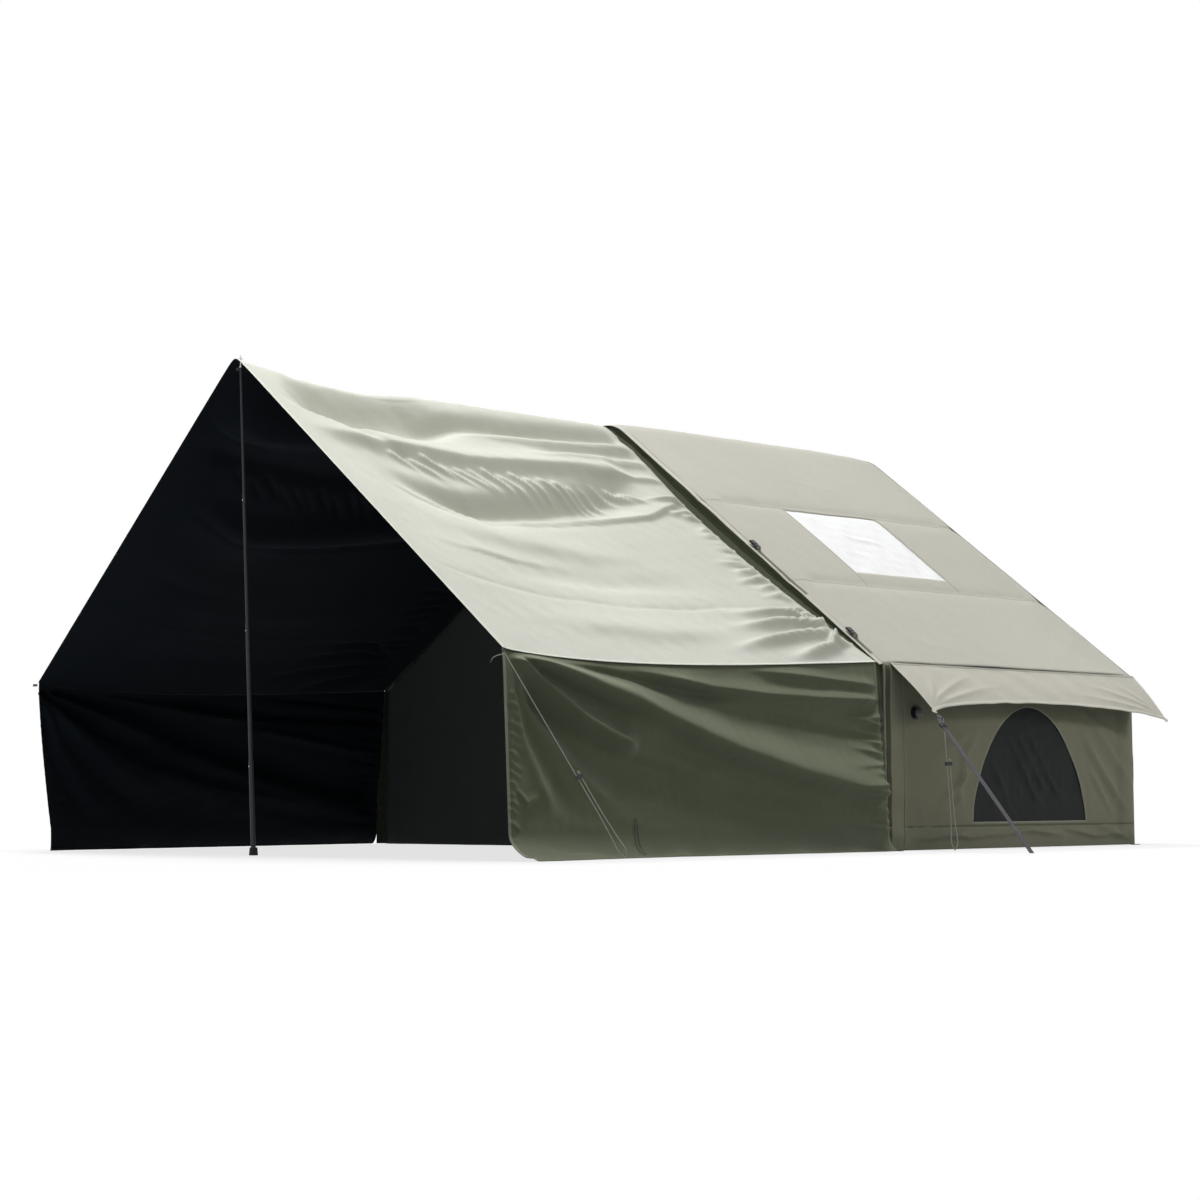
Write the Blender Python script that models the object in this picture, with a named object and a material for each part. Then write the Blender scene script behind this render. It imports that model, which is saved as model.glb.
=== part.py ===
"""Inflatable glamping tent with an open front porch.

Metres, +Z up. The ridge runs along Y, the open porch faces -Y and the origin is
on the ground below the middle of the tent. The main tent stands on inflated
beams, and the porch hangs from its front arch and from one sectional pole.
"""

import math

import bmesh
import bpy
from mathutils import Matrix, Vector

# Main tent, all sizes over the outer cloth
HALF_WIDTH = 1.80
EAVE_HEIGHT = 0.85
RIDGE_HEIGHT = 2.15
RIDGE_ROUND = 0.25
MAIN_DEPTH = 1.95

# Porch
PORCH_LENGTH = 2.20
PORCH_HALF_FRONT = 1.74
PORCH_HALF_REAR = 1.78
PORCH_EAVE_FRONT = 0.83
PORCH_RIDGE_REAR = 2.125
POLE_HEIGHT = 2.20
FRONT_LEAN = 0.04
PORCH_GAP = 0.035
RIDGE_SAG = 0.038
EAVE_SAG = 0.045
SLOPE_SAG = 0.060
SKIRT_REACH = 0.17
SKIRT_REST = 0.25
SKIRT_FLARE = {"left": -0.19, "right": 0.75}
SKIRT_FLARE_RUN = 0.22
SKIRT_HEIGHT = 0.11
WALL_BASE_FRONT = {"left": 1.652, "right": 1.742}
WALL_BASE_REAR = 1.840

# Places along Y
Y_FRONT = -2.04
Y_MAIN = Y_FRONT + PORCH_LENGTH
Y_REAR = Y_MAIN + MAIN_DEPTH

# Cloth and air beams
CLOTH = 0.004
GAP = 0.0004
ARCH_RADIUS = 0.0650
SLEEVE_INNER = 0.0690
SLEEVE_WALL = 0.0015
BEAM_INSET = 0.0760
CROSS_RADIUS = 0.050
TUBE_WALL = 0.0015
PORT_RADIUS = 0.010
PORT_REACH = (0.030, 0.090)
EAVE_TUBE_INWARD = 0.055
EAVE_TUBE_DOWN = 0.030
EAVE_BEND = 0.25
ARCH_SIDES = 10
FLOOR_SHEET = 0.003
FLOOR_LIP = 0.10
FLOOR_LIP_CLOTH = 0.0012
WALL_CLOTH = 0.002
SCREEN_CLOTH = 0.0015
INNER_CLOTH = 0.0015
REAR_CLOTH = 0.003
AWNING_CLOTH = 0.0025
FILM_THICKNESS = 0.002
ROOF_PAST_FRONT = 0.025
ROOF_PAST_REAR = 0.015

# Openings in the cloth
WINDOW_MIDDLE = Y_FRONT + 3.280
WINDOW_HALF = 0.450
WINDOW_SILL = 0.125
WINDOW_RISE = 0.545
WINDOW_LEAN = 1.5
DOOR_HALF = 0.50
DOOR_SILL = 0.11
DOOR_SPRING = 1.22
DOOR_TOP = 1.65
DOOR_GAP = 0.003
SKYLIGHT_Y = (Y_FRONT + 2.765, Y_FRONT + 3.470)
SKYLIGHT_X = (0.695, 1.160)
ZIP_SLIDER = (0.011, 0.005, 0.022)
ZIP_SLIDER_DOWN = 0.045

# Awnings
AWNING_Y = (Y_FRONT + 2.240, Y_FRONT + 4.150)
AWNING_START = (HALF_WIDTH + 0.0012, EAVE_HEIGHT - 0.0012)
AWNING_DROP = 0.236
AWNING_REACH = (0.257, 0.200)
AWNING_HOLLOW = 0.060
AWNING_BELLY = 0.010

# Filling valve
VALVE_Y = Y_FRONT + 2.420
VALVE_Z = 0.625
VALVE_NECK = 0.020
VALVE_DEPTH = 0.040
VALVE_FLANGE = 0.034
VALVE_RING = 0.024
VALVE_ARM = 0.011
VALVE_CAP = (0.0265, 0.007)
VALVE_CAP_OUT = 0.0168
VALVE_HINGE_UP = 0.030

# Front pole, sections from the ground up: outer radius and upper end
POLE_SECTIONS = [
    ("pole_bottom_tube", 0.0112, 0.42),
    ("pole_lower_tube", 0.0097, 1.02),
    ("pole_upper_tube", 0.0082, 1.60),
    ("pole_top_tube", 0.0067, 2.165),
]
POLE_WALL = 0.0011
POLE_INSERT = 0.060
POLE_START = 0.006
BUTTON_RADIUS = 0.0028
BUTTON_BELOW_JOINT = 0.028
BUTTON_INSIDE = 0.0035
BUTTON_PROUD = 0.0022
PIN_RADIUS = 0.0038
PIN_FLANGE = 0.0085
PIN_PLUG = 0.050
PIN_PROUD = 0.020
POLE_FOOT_RADII = (0.0190, 0.0200, 0.0172, 0.0134)
POLE_FOOT_HEIGHT = 0.035
EYELET_RADIUS = 0.0115
EYELET_THICKNESS = 0.0018
APEX_BACK = 0.030

# Lines
CORD_RADIUS = 0.0020
TIE_RADIUS = 0.0016
STRAP_WIDTH = 0.025
STRAP_THICKNESS = 0.002
STRAP_SLIDE = (0.038, 0.010, 0.024)
STRAP_SLIDE_AT = 0.045
RUNNER = (0.034, 0.010, 0.016)
RUNNER_BELOW_KNOT = 0.022
FRONT_RUNNER_AT = 0.585
AWNING_RUNNER_AT = 0.310
GUY_SIDE = Vector((0.60, 0.80, 0.0))
STRAND_SPACING = 0.014
LOOP_SPREAD = 0.036

# Small webbing pieces: across, along, thick
PEG_LOOP = (0.030, 0.050, 0.0025)
PEG_LOOP_BAND = 0.008
EAVE_TAB = (0.016, 0.022, 0.002)
AWNING_TAB = (0.022, 0.030, 0.002)

# Side-release clips on the roof's front hem, at a distance from the ridge
CLIP_PLACES = [("upper", 1.005), ("lower", 1.599)]
CLIP_Y = Y_FRONT + 2.196
CLIP = (0.030, 0.034, 0.011)
CLIP_WALL = (0.004, 0.0025)
CLIP_TONGUE = (0.020, 0.022, 0.004)
CLIP_GRIP = (0.026, 0.018, 0.009)
CLIP_GRIP_OUT = 0.0098

# Route points chosen by hand, with y measured from Y_FRONT
FRONT_GUY_TOP = (1.772, -0.052, 0.806)
FRONT_GUY_FOOT = (2.105, 0.270, 0.008)
AWNING_GUY_TOP = (2.080, 2.266, 0.590)
AWNING_GUY_FOOT = (2.140, 2.246, 0.008)
STRAP_TOP = (2.086, 2.222, 0.588)
STRAP_FOOT = (2.650, 2.124, 0.004)
TIE_LOOP = [
    (1.7726, 0.648, 0.160),
    (1.7760, 0.647, 0.122),
    (1.7785, 0.646, 0.088),
    (1.7850, 0.645, 0.060),
    (1.7970, 0.644, 0.040),
    (1.8100, 0.645, 0.026),
    (1.8220, 0.650, 0.0180),
    (1.8280, 0.656, 0.0150),
    (1.8215, 0.662, 0.0182),
    (1.8090, 0.665, 0.0262),
    (1.7960, 0.665, 0.0402),
    (1.7840, 0.665, 0.0602),
    (1.7775, 0.664, 0.0885),
    (1.7750, 0.662, 0.122),
    (1.7720, 0.660, 0.160),
]


def clear_scene():
    for old in list(bpy.data.objects):
        bpy.data.objects.remove(old)


def finish_of(name, colour, roughness, metallic=0.0):
    """A Principled material with one colour."""
    material = bpy.data.materials.new(name)
    material.use_nodes = True
    shader = material.node_tree.nodes["Principled BSDF"]
    shader.inputs["Base Color"].default_value = (*colour, 1.0)
    shader.inputs["Roughness"].default_value = roughness
    shader.inputs["Metallic"].default_value = metallic
    return material


def add_object(name, mesh, material):
    thing = bpy.data.objects.new(name, mesh)
    mesh.materials.append(material)
    bpy.context.scene.collection.objects.link(thing)
    return thing


def from_bmesh(name, shape, material, smooth=True):
    mesh = bpy.data.meshes.new(name)
    shape.to_mesh(mesh)
    shape.free()
    if smooth:
        mesh.shade_smooth()
        mesh.set_sharp_from_angle(angle=math.radians(40))
    return add_object(name, mesh, material)


def thicken(thing, thickness, side=-1.0):
    """Gives a sheet its thickness, away from its outer face when side is -1."""
    solid = thing.modifiers.new("Thickness", "SOLIDIFY")
    solid.thickness = thickness
    solid.offset = side
    return thing


def cloth_grid(name, rows, material, keep=None, thickness=CLOTH):
    """A sheet through rows of points, with the faces that keep() refuses left open."""
    shape = bmesh.new()
    grid = [[shape.verts.new(point) for point in row] for row in rows]
    for i in range(len(rows) - 1):
        for j in range(len(rows[0]) - 1):
            corners = (grid[i][j], grid[i + 1][j], grid[i + 1][j + 1], grid[i][j + 1])
            middle = sum((corner.co for corner in corners), Vector()) / 4
            if keep is None or keep(middle):
                shape.faces.new(corners)
    return thicken(from_bmesh(name, shape, material), thickness)


def flat_panel(name, outline, place, depth, material, hole=None):
    """An upright panel: an outline, with one hole, extruded along the third axis of place."""
    shape = bmesh.new()
    edges = []
    for loop in [outline] + ([hole] if hole else []):
        corners = [shape.verts.new(place(a, b, 0.0)) for a, b in loop]
        for first, second in zip(corners, corners[1:] + corners[:1]):
            edges.append(shape.edges.new((first, second)))
    bmesh.ops.triangle_fill(shape, use_beauty=True, use_dissolve=False, edges=edges)
    step = place(0.0, 0.0, depth) - place(0.0, 0.0, 0.0)
    sides = bmesh.ops.extrude_face_region(shape, geom=list(shape.faces))
    moved = [part for part in sides["geom"] if isinstance(part, bmesh.types.BMVert)]
    bmesh.ops.translate(shape, verts=moved, vec=step)
    bmesh.ops.recalc_face_normals(shape, faces=list(shape.faces))
    return from_bmesh(name, shape, material, smooth=False)


def frame_along(direction, up=(0.0, 0.0, 1.0)):
    """Rotation whose Z runs along direction."""
    along = Vector(direction).normalized()
    side = Vector(up).cross(along)
    if side.length < 1e-6:
        side = Vector((1.0, 0.0, 0.0))
    side.normalize()
    return Matrix((side, along.cross(side), along)).transposed().to_4x4()


def ring_tube(name, points, radius, material, sides=ARCH_SIDES, capped=True):
    """A round tube in the XZ plane along points, with its rings square to the path."""
    shape = bmesh.new()
    rings = []
    for i, point in enumerate(points):
        before = points[max(i - 1, 0)]
        after = points[min(i + 1, len(points) - 1)]
        along = (after - before).normalized()
        across = Vector((0.0, 1.0, 0.0))
        other = across.cross(along)
        turn = [2 * math.pi * (k + 0.5) / sides for k in range(sides)]
        rings.append([
            shape.verts.new(point + radius * (math.cos(a) * across + math.sin(a) * other))
            for a in turn
        ])
    for first, second in zip(rings, rings[1:]):
        for k in range(sides):
            n = (k + 1) % sides
            shape.faces.new((first[k], first[n], second[n], second[k]))
    if capped:
        shape.faces.new(rings[0][::-1])
        shape.faces.new(rings[-1])
    bmesh.ops.recalc_face_normals(shape, faces=list(shape.faces))
    return from_bmesh(name, shape, material)


def turned(name, profile, start, direction, material, sides=12, up=(0.0, 0.0, 1.0)):
    """A closed profile of (radius, height) pairs spun round an axis."""
    shape = bmesh.new()
    loop = [shape.verts.new((radius, 0.0, height)) for radius, height in profile]
    closed = all(radius > 0 for radius, _ in profile)
    pairs = zip(loop, loop[1:] + (loop[:1] if closed else []))
    edges = [shape.edges.new(pair) for pair in pairs]
    bmesh.ops.spin(
        shape,
        geom=loop + edges,
        cent=(0.0, 0.0, 0.0),
        axis=(0.0, 0.0, 1.0),
        angle=2 * math.pi,
        steps=sides,
        use_merge=True,
    )
    bmesh.ops.remove_doubles(shape, verts=list(shape.verts), dist=1e-6)
    bmesh.ops.recalc_face_normals(shape, faces=list(shape.faces))
    thing = from_bmesh(name, shape, material)
    thing.matrix_world = Matrix.Translation(start) @ frame_along(direction, up)
    return thing


def rod_profile(radius, low, high):
    return [(0.0, low), (radius, low), (radius, high), (0.0, high)]


def pipe_profile(outer, inner, low, high):
    return [(inner, low), (outer, low), (outer, high), (inner, high)]


def block(name, size, middle, turn, material, bevel=0.0):
    """A box of that size, turned and placed, with its edges broken."""
    shape = bmesh.new()
    bmesh.ops.create_cube(shape, size=1.0)
    bmesh.ops.scale(shape, vec=size, verts=list(shape.verts))
    if bevel:
        bmesh.ops.bevel(
            shape, geom=list(shape.edges), offset=bevel, segments=1, affect="EDGES"
        )
    thing = from_bmesh(name, shape, material, smooth=False)
    thing.matrix_world = Matrix.Translation(middle) @ turn
    return thing


def cut(thing, cutter):
    """Takes the cutter's shape out of thing."""
    cutter.hide_render = True
    cutter.display_type = "WIRE"
    away = thing.modifiers.new("Cut", "BOOLEAN")
    away.operation = "DIFFERENCE"
    away.solver = "EXACT"
    away.object = cutter


def unite(thing, other):
    """Joins the other shape to thing."""
    other.hide_render = True
    other.display_type = "WIRE"
    more = thing.modifiers.new("Join", "BOOLEAN")
    more.operation = "UNION"
    more.solver = "EXACT"
    more.object = other


def rod_between(name, start, end, radius, sides=12):
    """A hidden rod from start to end that cuts a round hole."""
    plain = bpy.data.materials.get("cutter") or finish_of("cutter", (1, 0, 0), 0.5)
    direction = Vector(end) - Vector(start)
    profile = rod_profile(radius, 0.0, direction.length)
    return turned(name, profile, Vector(start), direction, plain, sides)


def fillet(corner, before, after, radius, steps):
    """Points of an arc that rounds a corner between two straight runs."""
    into = (before - corner).normalized()
    out = (after - corner).normalized()
    half = into.angle(out) / 2
    reach = radius / math.tan(half)
    middle = corner + (into + out).normalized() * (radius / math.sin(half))
    start = (corner + into * reach - middle).normalized()
    end = (corner + out * reach - middle).normalized()
    return [middle + start.slerp(end, k / steps) * radius for k in range(steps + 1)]


def roof_pitch():
    """Roof angle whose rounded ridge comes out at the ridge height."""
    angle = math.atan2(RIDGE_HEIGHT - EAVE_HEIGHT, HALF_WIDTH)
    for _ in range(20):
        peak = RIDGE_HEIGHT + RIDGE_ROUND * (1 / math.cos(angle) - 1)
        angle = math.atan2(peak - EAVE_HEIGHT, HALF_WIDTH)
    return angle


PITCH = roof_pitch()
PEAK = EAVE_HEIGHT + HALF_WIDTH * math.tan(PITCH)


def roof_at(x, inset=0.0):
    """Height of the flat part of the roof at x, or of a line that far under it."""
    return PEAK - inset / math.cos(PITCH) - abs(x) * math.tan(PITCH)


def section_points(y, inset, foot, leg_x, eave_bend, bend_steps=3):
    """Arch path: up one leg, over the ridge and down the other leg."""
    top = Vector((0.0, y, PEAK - inset / math.cos(PITCH)))
    eave = Vector((leg_x, y, roof_at(leg_x, inset)))
    base = Vector((leg_x, y, foot))
    mirror = Matrix.Scale(-1.0, 3, (1.0, 0.0, 0.0))
    right = [base, base.lerp(eave, 0.4)]
    right += fillet(eave, base, top, eave_bend, bend_steps)
    slope = fillet(top, eave, mirror @ eave, RIDGE_ROUND - inset, 6)
    rest = [mirror @ point for point in reversed(right)]
    return right + slope + rest


# Main tent

SLEEVE_OUTER = SLEEVE_INNER + SLEEVE_WALL
LEG_X = HALF_WIDTH - CLOTH - 0.008 - SLEEVE_OUTER
ARCH_Y = (Y_MAIN + SLEEVE_OUTER + 0.0045, Y_REAR - SLEEVE_OUTER - 0.0070)
END_LEG = HALF_WIDTH - CLOTH - WALL_CLOTH - 0.001
END_DROP = CLOTH + 0.001


def cross_beam_places():
    """Name, x and z of the ridge and eave air tubes."""
    eave_x = LEG_X - EAVE_TUBE_INWARD
    eave_z = roof_at(eave_x, BEAM_INSET) - EAVE_TUBE_DOWN
    return [
        ("ridge_air_tube", 0.0, RIDGE_HEIGHT - BEAM_INSET),
        ("left_eave_air_tube", -eave_x, eave_z),
        ("right_eave_air_tube", eave_x, eave_z),
    ]


def make_arches(air, sleeve):
    """Hollow arch tubes in their cloth sleeves, with a port where each cross tube joins."""
    for word, y, inward in zip(("front", "rear"), ARCH_Y, (1.0, -1.0)):
        path = section_points(y, BEAM_INSET, FLOOR_SHEET + GAP, LEG_X, EAVE_BEND)
        tube = ring_tube(f"{word}_arch_air_tube", path, ARCH_RADIUS, air)
        thicken(tube, TUBE_WALL)
        path = section_points(y, BEAM_INSET, FLOOR_SHEET + 0.002, LEG_X, EAVE_BEND)
        cover = ring_tube(f"{word}_arch_sleeve", path, SLEEVE_INNER, sleeve, capped=False)
        thicken(cover, SLEEVE_WALL, side=1.0)
        for name, x, z in cross_beam_places():
            start, end = ((x, y + inward * reach, z) for reach in PORT_REACH)
            port = rod_between(f"{word}_{name}_port", start, end, PORT_RADIUS, 8)
            cut(tube, port)
            cut(cover, port)


def make_cross_beams(air):
    """Hollow ridge and eave air tubes between the two arches, with a port at each end."""
    clear = SLEEVE_OUTER + GAP
    start = ARCH_Y[0] + clear
    length = ARCH_Y[1] - clear - start
    outer, inner, port = CROSS_RADIUS, CROSS_RADIUS - TUBE_WALL, PORT_RADIUS
    profile = [
        (port, 0.0), (outer, 0.0), (outer, length), (port, length),
        (port, length - TUBE_WALL), (inner, length - TUBE_WALL),
        (inner, TUBE_WALL), (port, TUBE_WALL),
    ]
    for name, x, z in cross_beam_places():
        turned(name, profile, Vector((x, start, z)), (0.0, 1.0, 0.0), air)


def make_main_roof(cloth):
    """One sheet from eave to eave, with the skylight left open on the right slope."""
    arc = fillet(
        Vector((0.0, 0.0, PEAK)),
        Vector((1.0, 0.0, roof_at(1.0))),
        Vector((-1.0, 0.0, roof_at(1.0))),
        RIDGE_ROUND,
        6,
    )
    right = [(x, roof_at(x)) for x in (HALF_WIDTH, SKYLIGHT_X[1], SKYLIGHT_X[0])]
    left = [(-x, z) for x, z in reversed(right)]
    across = right + [(point.x, point.z) for point in arc] + left
    y_lines = [Y_MAIN - ROOF_PAST_FRONT, *SKYLIGHT_Y, Y_REAR + ROOF_PAST_REAR]
    rows = [[Vector((x, y, z)) for x, z in across] for y in y_lines]

    def keep(middle):
        in_x = SKYLIGHT_X[0] < middle.x < SKYLIGHT_X[1]
        return not (in_x and SKYLIGHT_Y[0] < middle.y < SKYLIGHT_Y[1])

    return cloth_grid("main_roof", rows, cloth, keep)


def make_skylight(film):
    """Clear film that fills the roof opening, a hair smaller all round."""
    slack = 0.0015
    x_ends = (SKYLIGHT_X[1] - slack, SKYLIGHT_X[0] + slack)
    y_ends = (SKYLIGHT_Y[0] + slack, SKYLIGHT_Y[1] - slack)
    rows = [[Vector((x, y, roof_at(x, 0.001))) for x in x_ends] for y in y_ends]
    cloth_grid("skylight_film", rows, film, thickness=FILM_THICKNESS)


def window_outline(shrink=0.0, steps=9):
    """Arched window: flat sill, sides that lean in, round top."""
    half = WINDOW_HALF - shrink
    sill = WINDOW_SILL + shrink
    rise = WINDOW_RISE - 2 * shrink
    right = []
    for k in range(steps + 1):
        turn = 0.5 * math.pi * k / steps
        across = math.sqrt(max(1.0 - math.sin(turn) ** WINDOW_LEAN, 0.0))
        right.append((WINDOW_MIDDLE + half * across, sill + rise * math.sin(turn)))
    left = [(2 * WINDOW_MIDDLE - y, z) for y, z in reversed(right[:-1])]
    return right + left


def make_side_walls(cloth, mesh):
    """Upright walls with an arched mesh window each."""
    top = roof_at(HALF_WIDTH - CLOTH, CLOTH) - 0.0015
    first, last = Y_MAIN - 0.004, Y_REAR - CLOTH - 0.0005
    outline = [(first, 0.0), (last, 0.0), (last, top), (first, top)]
    for word, side in (("left", -1.0), ("right", 1.0)):
        def place(y, z, depth, side=side):
            return Vector((side * (HALF_WIDTH - CLOTH - depth), y, z))

        wall = flat_panel(
            f"{word}_side_wall", outline, place, WALL_CLOTH, cloth, window_outline()
        )
        if side > 0:
            start = (HALF_WIDTH - 0.03, VALVE_Y, VALVE_Z)
            end = (HALF_WIDTH + 0.03, VALVE_Y, VALVE_Z)
            cut(wall, rod_between("valve_hole", start, end, VALVE_NECK + 0.0008))
        outline_in = window_outline(0.0006)
        flat_panel(f"{word}_window_mesh", outline_in, place, SCREEN_CLOTH, mesh)


def gable_outline(leg, drop, steps=6):
    """Outline of an end wall that stands on the ground and fits under the roof."""
    peak = PEAK - drop / math.cos(PITCH)
    shoulder = Vector((leg, 0.0, peak - leg * math.tan(PITCH)))
    other = Vector((-leg, 0.0, shoulder.z))
    arc = fillet(Vector((0.0, 0.0, peak)), shoulder, other, RIDGE_ROUND - drop, steps)
    outline = [(leg, 0.0), (leg, shoulder.z)]
    outline += [(point.x, point.z) for point in arc]
    return outline + [(-leg, shoulder.z), (-leg, 0.0)]


def door_outline(shrink=0.0, steps=8):
    """Straight jambs under a flattened arch."""
    half = DOOR_HALF - shrink
    sill = DOOR_SILL + shrink
    rise = DOOR_TOP - DOOR_SPRING - shrink
    arch = []
    for k in range(2 * steps + 1):
        turn = math.pi * k / (2 * steps)
        arch.append((half * math.cos(turn), DOOR_SPRING + rise * math.sin(turn)))
    return [(half, sill)] + arch + [(-half, sill)]


def make_end_walls(inner_cloth, cloth):
    def front(x, z, depth):
        return Vector((x, Y_MAIN + depth, z))

    def rear(x, z, depth):
        return Vector((x, Y_REAR - CLOTH + depth, z))

    outline = gable_outline(END_LEG, END_DROP)
    flat_panel("front_wall", outline, front, INNER_CLOTH, inner_cloth, door_outline())
    flat_panel("rear_wall", outline, rear, REAR_CLOTH, cloth)


def make_doors(cloth, metal):
    """Two door leaves that meet at a middle zip, each hung on its jamb."""
    outline = door_outline(DOOR_GAP)
    for word, side in (("left", -1.0), ("right", 1.0)):
        half = [(side * max(abs(x), DOOR_GAP / 2), z) for x, z in outline if x * side > 1e-6]
        low, high = DOOR_SILL + DOOR_GAP, DOOR_TOP - DOOR_GAP
        if side > 0:
            half = half + [(DOOR_GAP / 2, high), (DOOR_GAP / 2, low)]
        else:
            half = [(-DOOR_GAP / 2, low), (-DOOR_GAP / 2, high)] + half
        hinge = side * DOOR_HALF

        def place(x, z, depth, hinge=hinge):
            return Vector((x - hinge, depth - 0.0005, z))

        leaf = flat_panel(f"{word}_door_leaf", half, place, INNER_CLOTH, cloth)
        leaf.location = (hinge, Y_MAIN, 0.0)
    block(
        "door_zip_slider",
        ZIP_SLIDER,
        Vector((-0.0085, Y_MAIN - 0.0035, DOOR_TOP - ZIP_SLIDER_DOWN)),
        Matrix.Identity(4),
        metal,
        0.0012,
    )


def make_groundsheet(sheet):
    """Tub floor: one flat sheet with a low lip all round, open on top."""
    half = END_LEG - 0.001
    first = Y_MAIN + INNER_CLOTH + GAP
    last = Y_REAR - CLOTH - GAP
    lip = FLOOR_LIP_CLOTH
    shape = bmesh.new()
    outer = [(half, first), (half, last), (-half, last), (-half, first)]
    inset = half - lip
    inner = [(inset, first + lip), (inset, last - lip), (-inset, last - lip), (-inset, first + lip)]
    loops = [
        [shape.verts.new((x, y, 0.0)) for x, y in outer],
        [shape.verts.new((x, y, FLOOR_LIP)) for x, y in outer],
        [shape.verts.new((x, y, FLOOR_LIP)) for x, y in inner],
        [shape.verts.new((x, y, FLOOR_SHEET)) for x, y in inner],
    ]
    for low, high in zip(loops, loops[1:]):
        for k in range(4):
            n = (k + 1) % 4
            shape.faces.new((low[k], low[n], high[n], high[k]))
    shape.faces.new(loops[0][::-1])
    shape.faces.new(loops[-1])
    bmesh.ops.recalc_face_normals(shape, faces=list(shape.faces))
    from_bmesh("groundsheet", shape, sheet, smooth=False)


def make_awnings(cloth, steps=10):
    """Short sheets that carry the roof on past each wall, drawn up between their corners."""
    for word, side in (("left", -1.0), ("right", 1.0)):
        rows = []
        for i in range(steps + 1):
            u = i / steps
            y = AWNING_Y[0] + u * (AWNING_Y[1] - AWNING_Y[0])
            reach = AWNING_REACH[0] + u * (AWNING_REACH[1] - AWNING_REACH[0])
            short = AWNING_HOLLOW * math.sin(math.pi * u) ** 0.7
            row = []
            for j in range(4):
                v = j / 3 * (1 - short / AWNING_DROP)
                x = AWNING_START[0] + reach * v
                z = AWNING_START[1] - AWNING_DROP * v + AWNING_BELLY * math.sin(math.pi * v)
                row.append(Vector((side * x, y, z)))
            rows.append(row)
        if side > 0:
            rows = [row[::-1] for row in rows]
        cloth_grid(f"{word}_awning", rows, cloth, thickness=AWNING_CLOTH)


def make_valve(plastic):
    """Filling valve in the right wall, with its arm to the front arch, and its hinged cap."""
    out = (1.0, 0.0, 0.0)
    face = HALF_WIDTH - CLOTH + GAP
    centre = Vector((face, VALVE_Y, VALVE_Z))
    profile = [
        (0.0, -VALVE_DEPTH), (VALVE_NECK, -VALVE_DEPTH), (VALVE_NECK, 0.0), (VALVE_FLANGE, 0.0),
        (VALVE_FLANGE, 0.004), (VALVE_RING, 0.006), (VALVE_RING, 0.016), (0.0, 0.016),
    ]
    body = turned("valve_body", profile, centre, out, plastic, 16)
    inside = centre - Vector((VALVE_DEPTH - VALVE_ARM - 0.003, 0.0, 0.0))
    arm_start = inside - Vector((0.0, VALVE_ARM, 0.0))
    arm_end = (inside.x, ARCH_Y[0] + SLEEVE_OUTER + 0.0006, inside.z)
    unite(body, rod_between("valve_arm", arm_start, arm_end, VALVE_ARM))
    cap_radius, cap_height = VALVE_CAP
    cap_face = centre + Vector((VALVE_CAP_OUT, 0.0, 0.0))
    cap = turned("valve_cap", rod_profile(cap_radius, 0.0, cap_height), cap_face, out, plastic, 16)
    hinge = cap_face + Vector((0.0, 0.0, VALVE_HINGE_UP))
    cap.data.transform(Matrix.Translation(-hinge) @ cap.matrix_world)
    cap.matrix_world = Matrix.Translation(hinge)


# Porch

Y_PORCH_REAR = Y_MAIN - PORCH_GAP


def porch_ridge(u):
    dip = RIDGE_SAG * math.sin(math.pi * math.sqrt(u)) ** 2
    return POLE_HEIGHT + (PORCH_RIDGE_REAR - POLE_HEIGHT) * u - dip


def porch_eave(u):
    dip = EAVE_SAG * math.sin(math.pi * u ** 0.7)
    return PORCH_EAVE_FRONT + (EAVE_HEIGHT - PORCH_EAVE_FRONT) * u - dip


def porch_half(u):
    return PORCH_HALF_FRONT + (PORCH_HALF_REAR - PORCH_HALF_FRONT) * u


def porch_y(u, z):
    return (Y_FRONT - FRONT_LEAN * z) * (1 - u) + Y_PORCH_REAR * u


def bump(value, middle, width):
    return math.exp(-(((value - middle) / width) ** 2))


# Lift, then middle and half width across the slope and along the ridge
CANOPY_FOLDS = [
    (0.016, 0.265, 0.035, 0.50, 0.42),
    (-0.014, 0.355, 0.045, 0.45, 0.35),
    (0.013, 0.455, 0.040, 0.50, 0.33),
    (0.010, 0.785, 0.035, 0.30, 0.25),
    (-0.010, 0.110, 0.050, 0.45, 0.35),
]


def canopy_fold(u, s):
    """Lift of the main folds: two long creases under the ridge, one over the eave."""
    ends = math.sin(math.pi * min(max(u, 0.0), 1.0)) ** 0.8
    lift = 0.0
    for height, across, width, along, length in CANOPY_FOLDS:
        lift += height * bump(abs(s), across, width) * bump(u, along, length)
    return lift * ends


CANOPY_ROUND = 0.03
CANOPY_LINES = (
    0.0, 0.05, 0.11, 0.18, 0.235, 0.27, 0.31, 0.355, 0.405,
    0.455, 0.52, 0.61, 0.70, 0.775, 0.84, 0.92, 1.0,
)


def canopy_point(u, s):
    """Canopy surface: u from front hem to rear hem, s from left eave through ridge to right."""
    soft = CANOPY_ROUND
    fall = (math.hypot(s, soft) - soft) / (math.hypot(1.0, soft) - soft)
    ridge, eave = porch_ridge(u), porch_eave(u)
    z = ridge - (ridge - eave) * fall
    z -= SLOPE_SAG * u ** 0.6 * math.sin(math.pi * abs(s))
    z += canopy_fold(u, s)
    return Vector((s * porch_half(u), porch_y(u, z), z))


def make_canopy(cloth, steps=12):
    """One sheet over the porch, with the eyelet hole for the pole's pin at its peak."""
    lines = [-s for s in reversed(CANOPY_LINES[1:])] + list(CANOPY_LINES)
    rows = [[canopy_point(i / steps, s) for s in reversed(lines)] for i in range(steps + 1)]
    canopy = cloth_grid("porch_canopy", rows, cloth)
    top = pole_point(POLE_HEIGHT + 0.05)
    low = pole_point(POLE_HEIGHT - 0.05)
    cut(canopy, rod_between("eyelet_hole", low, top, PIN_RADIUS + 0.0012))


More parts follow.
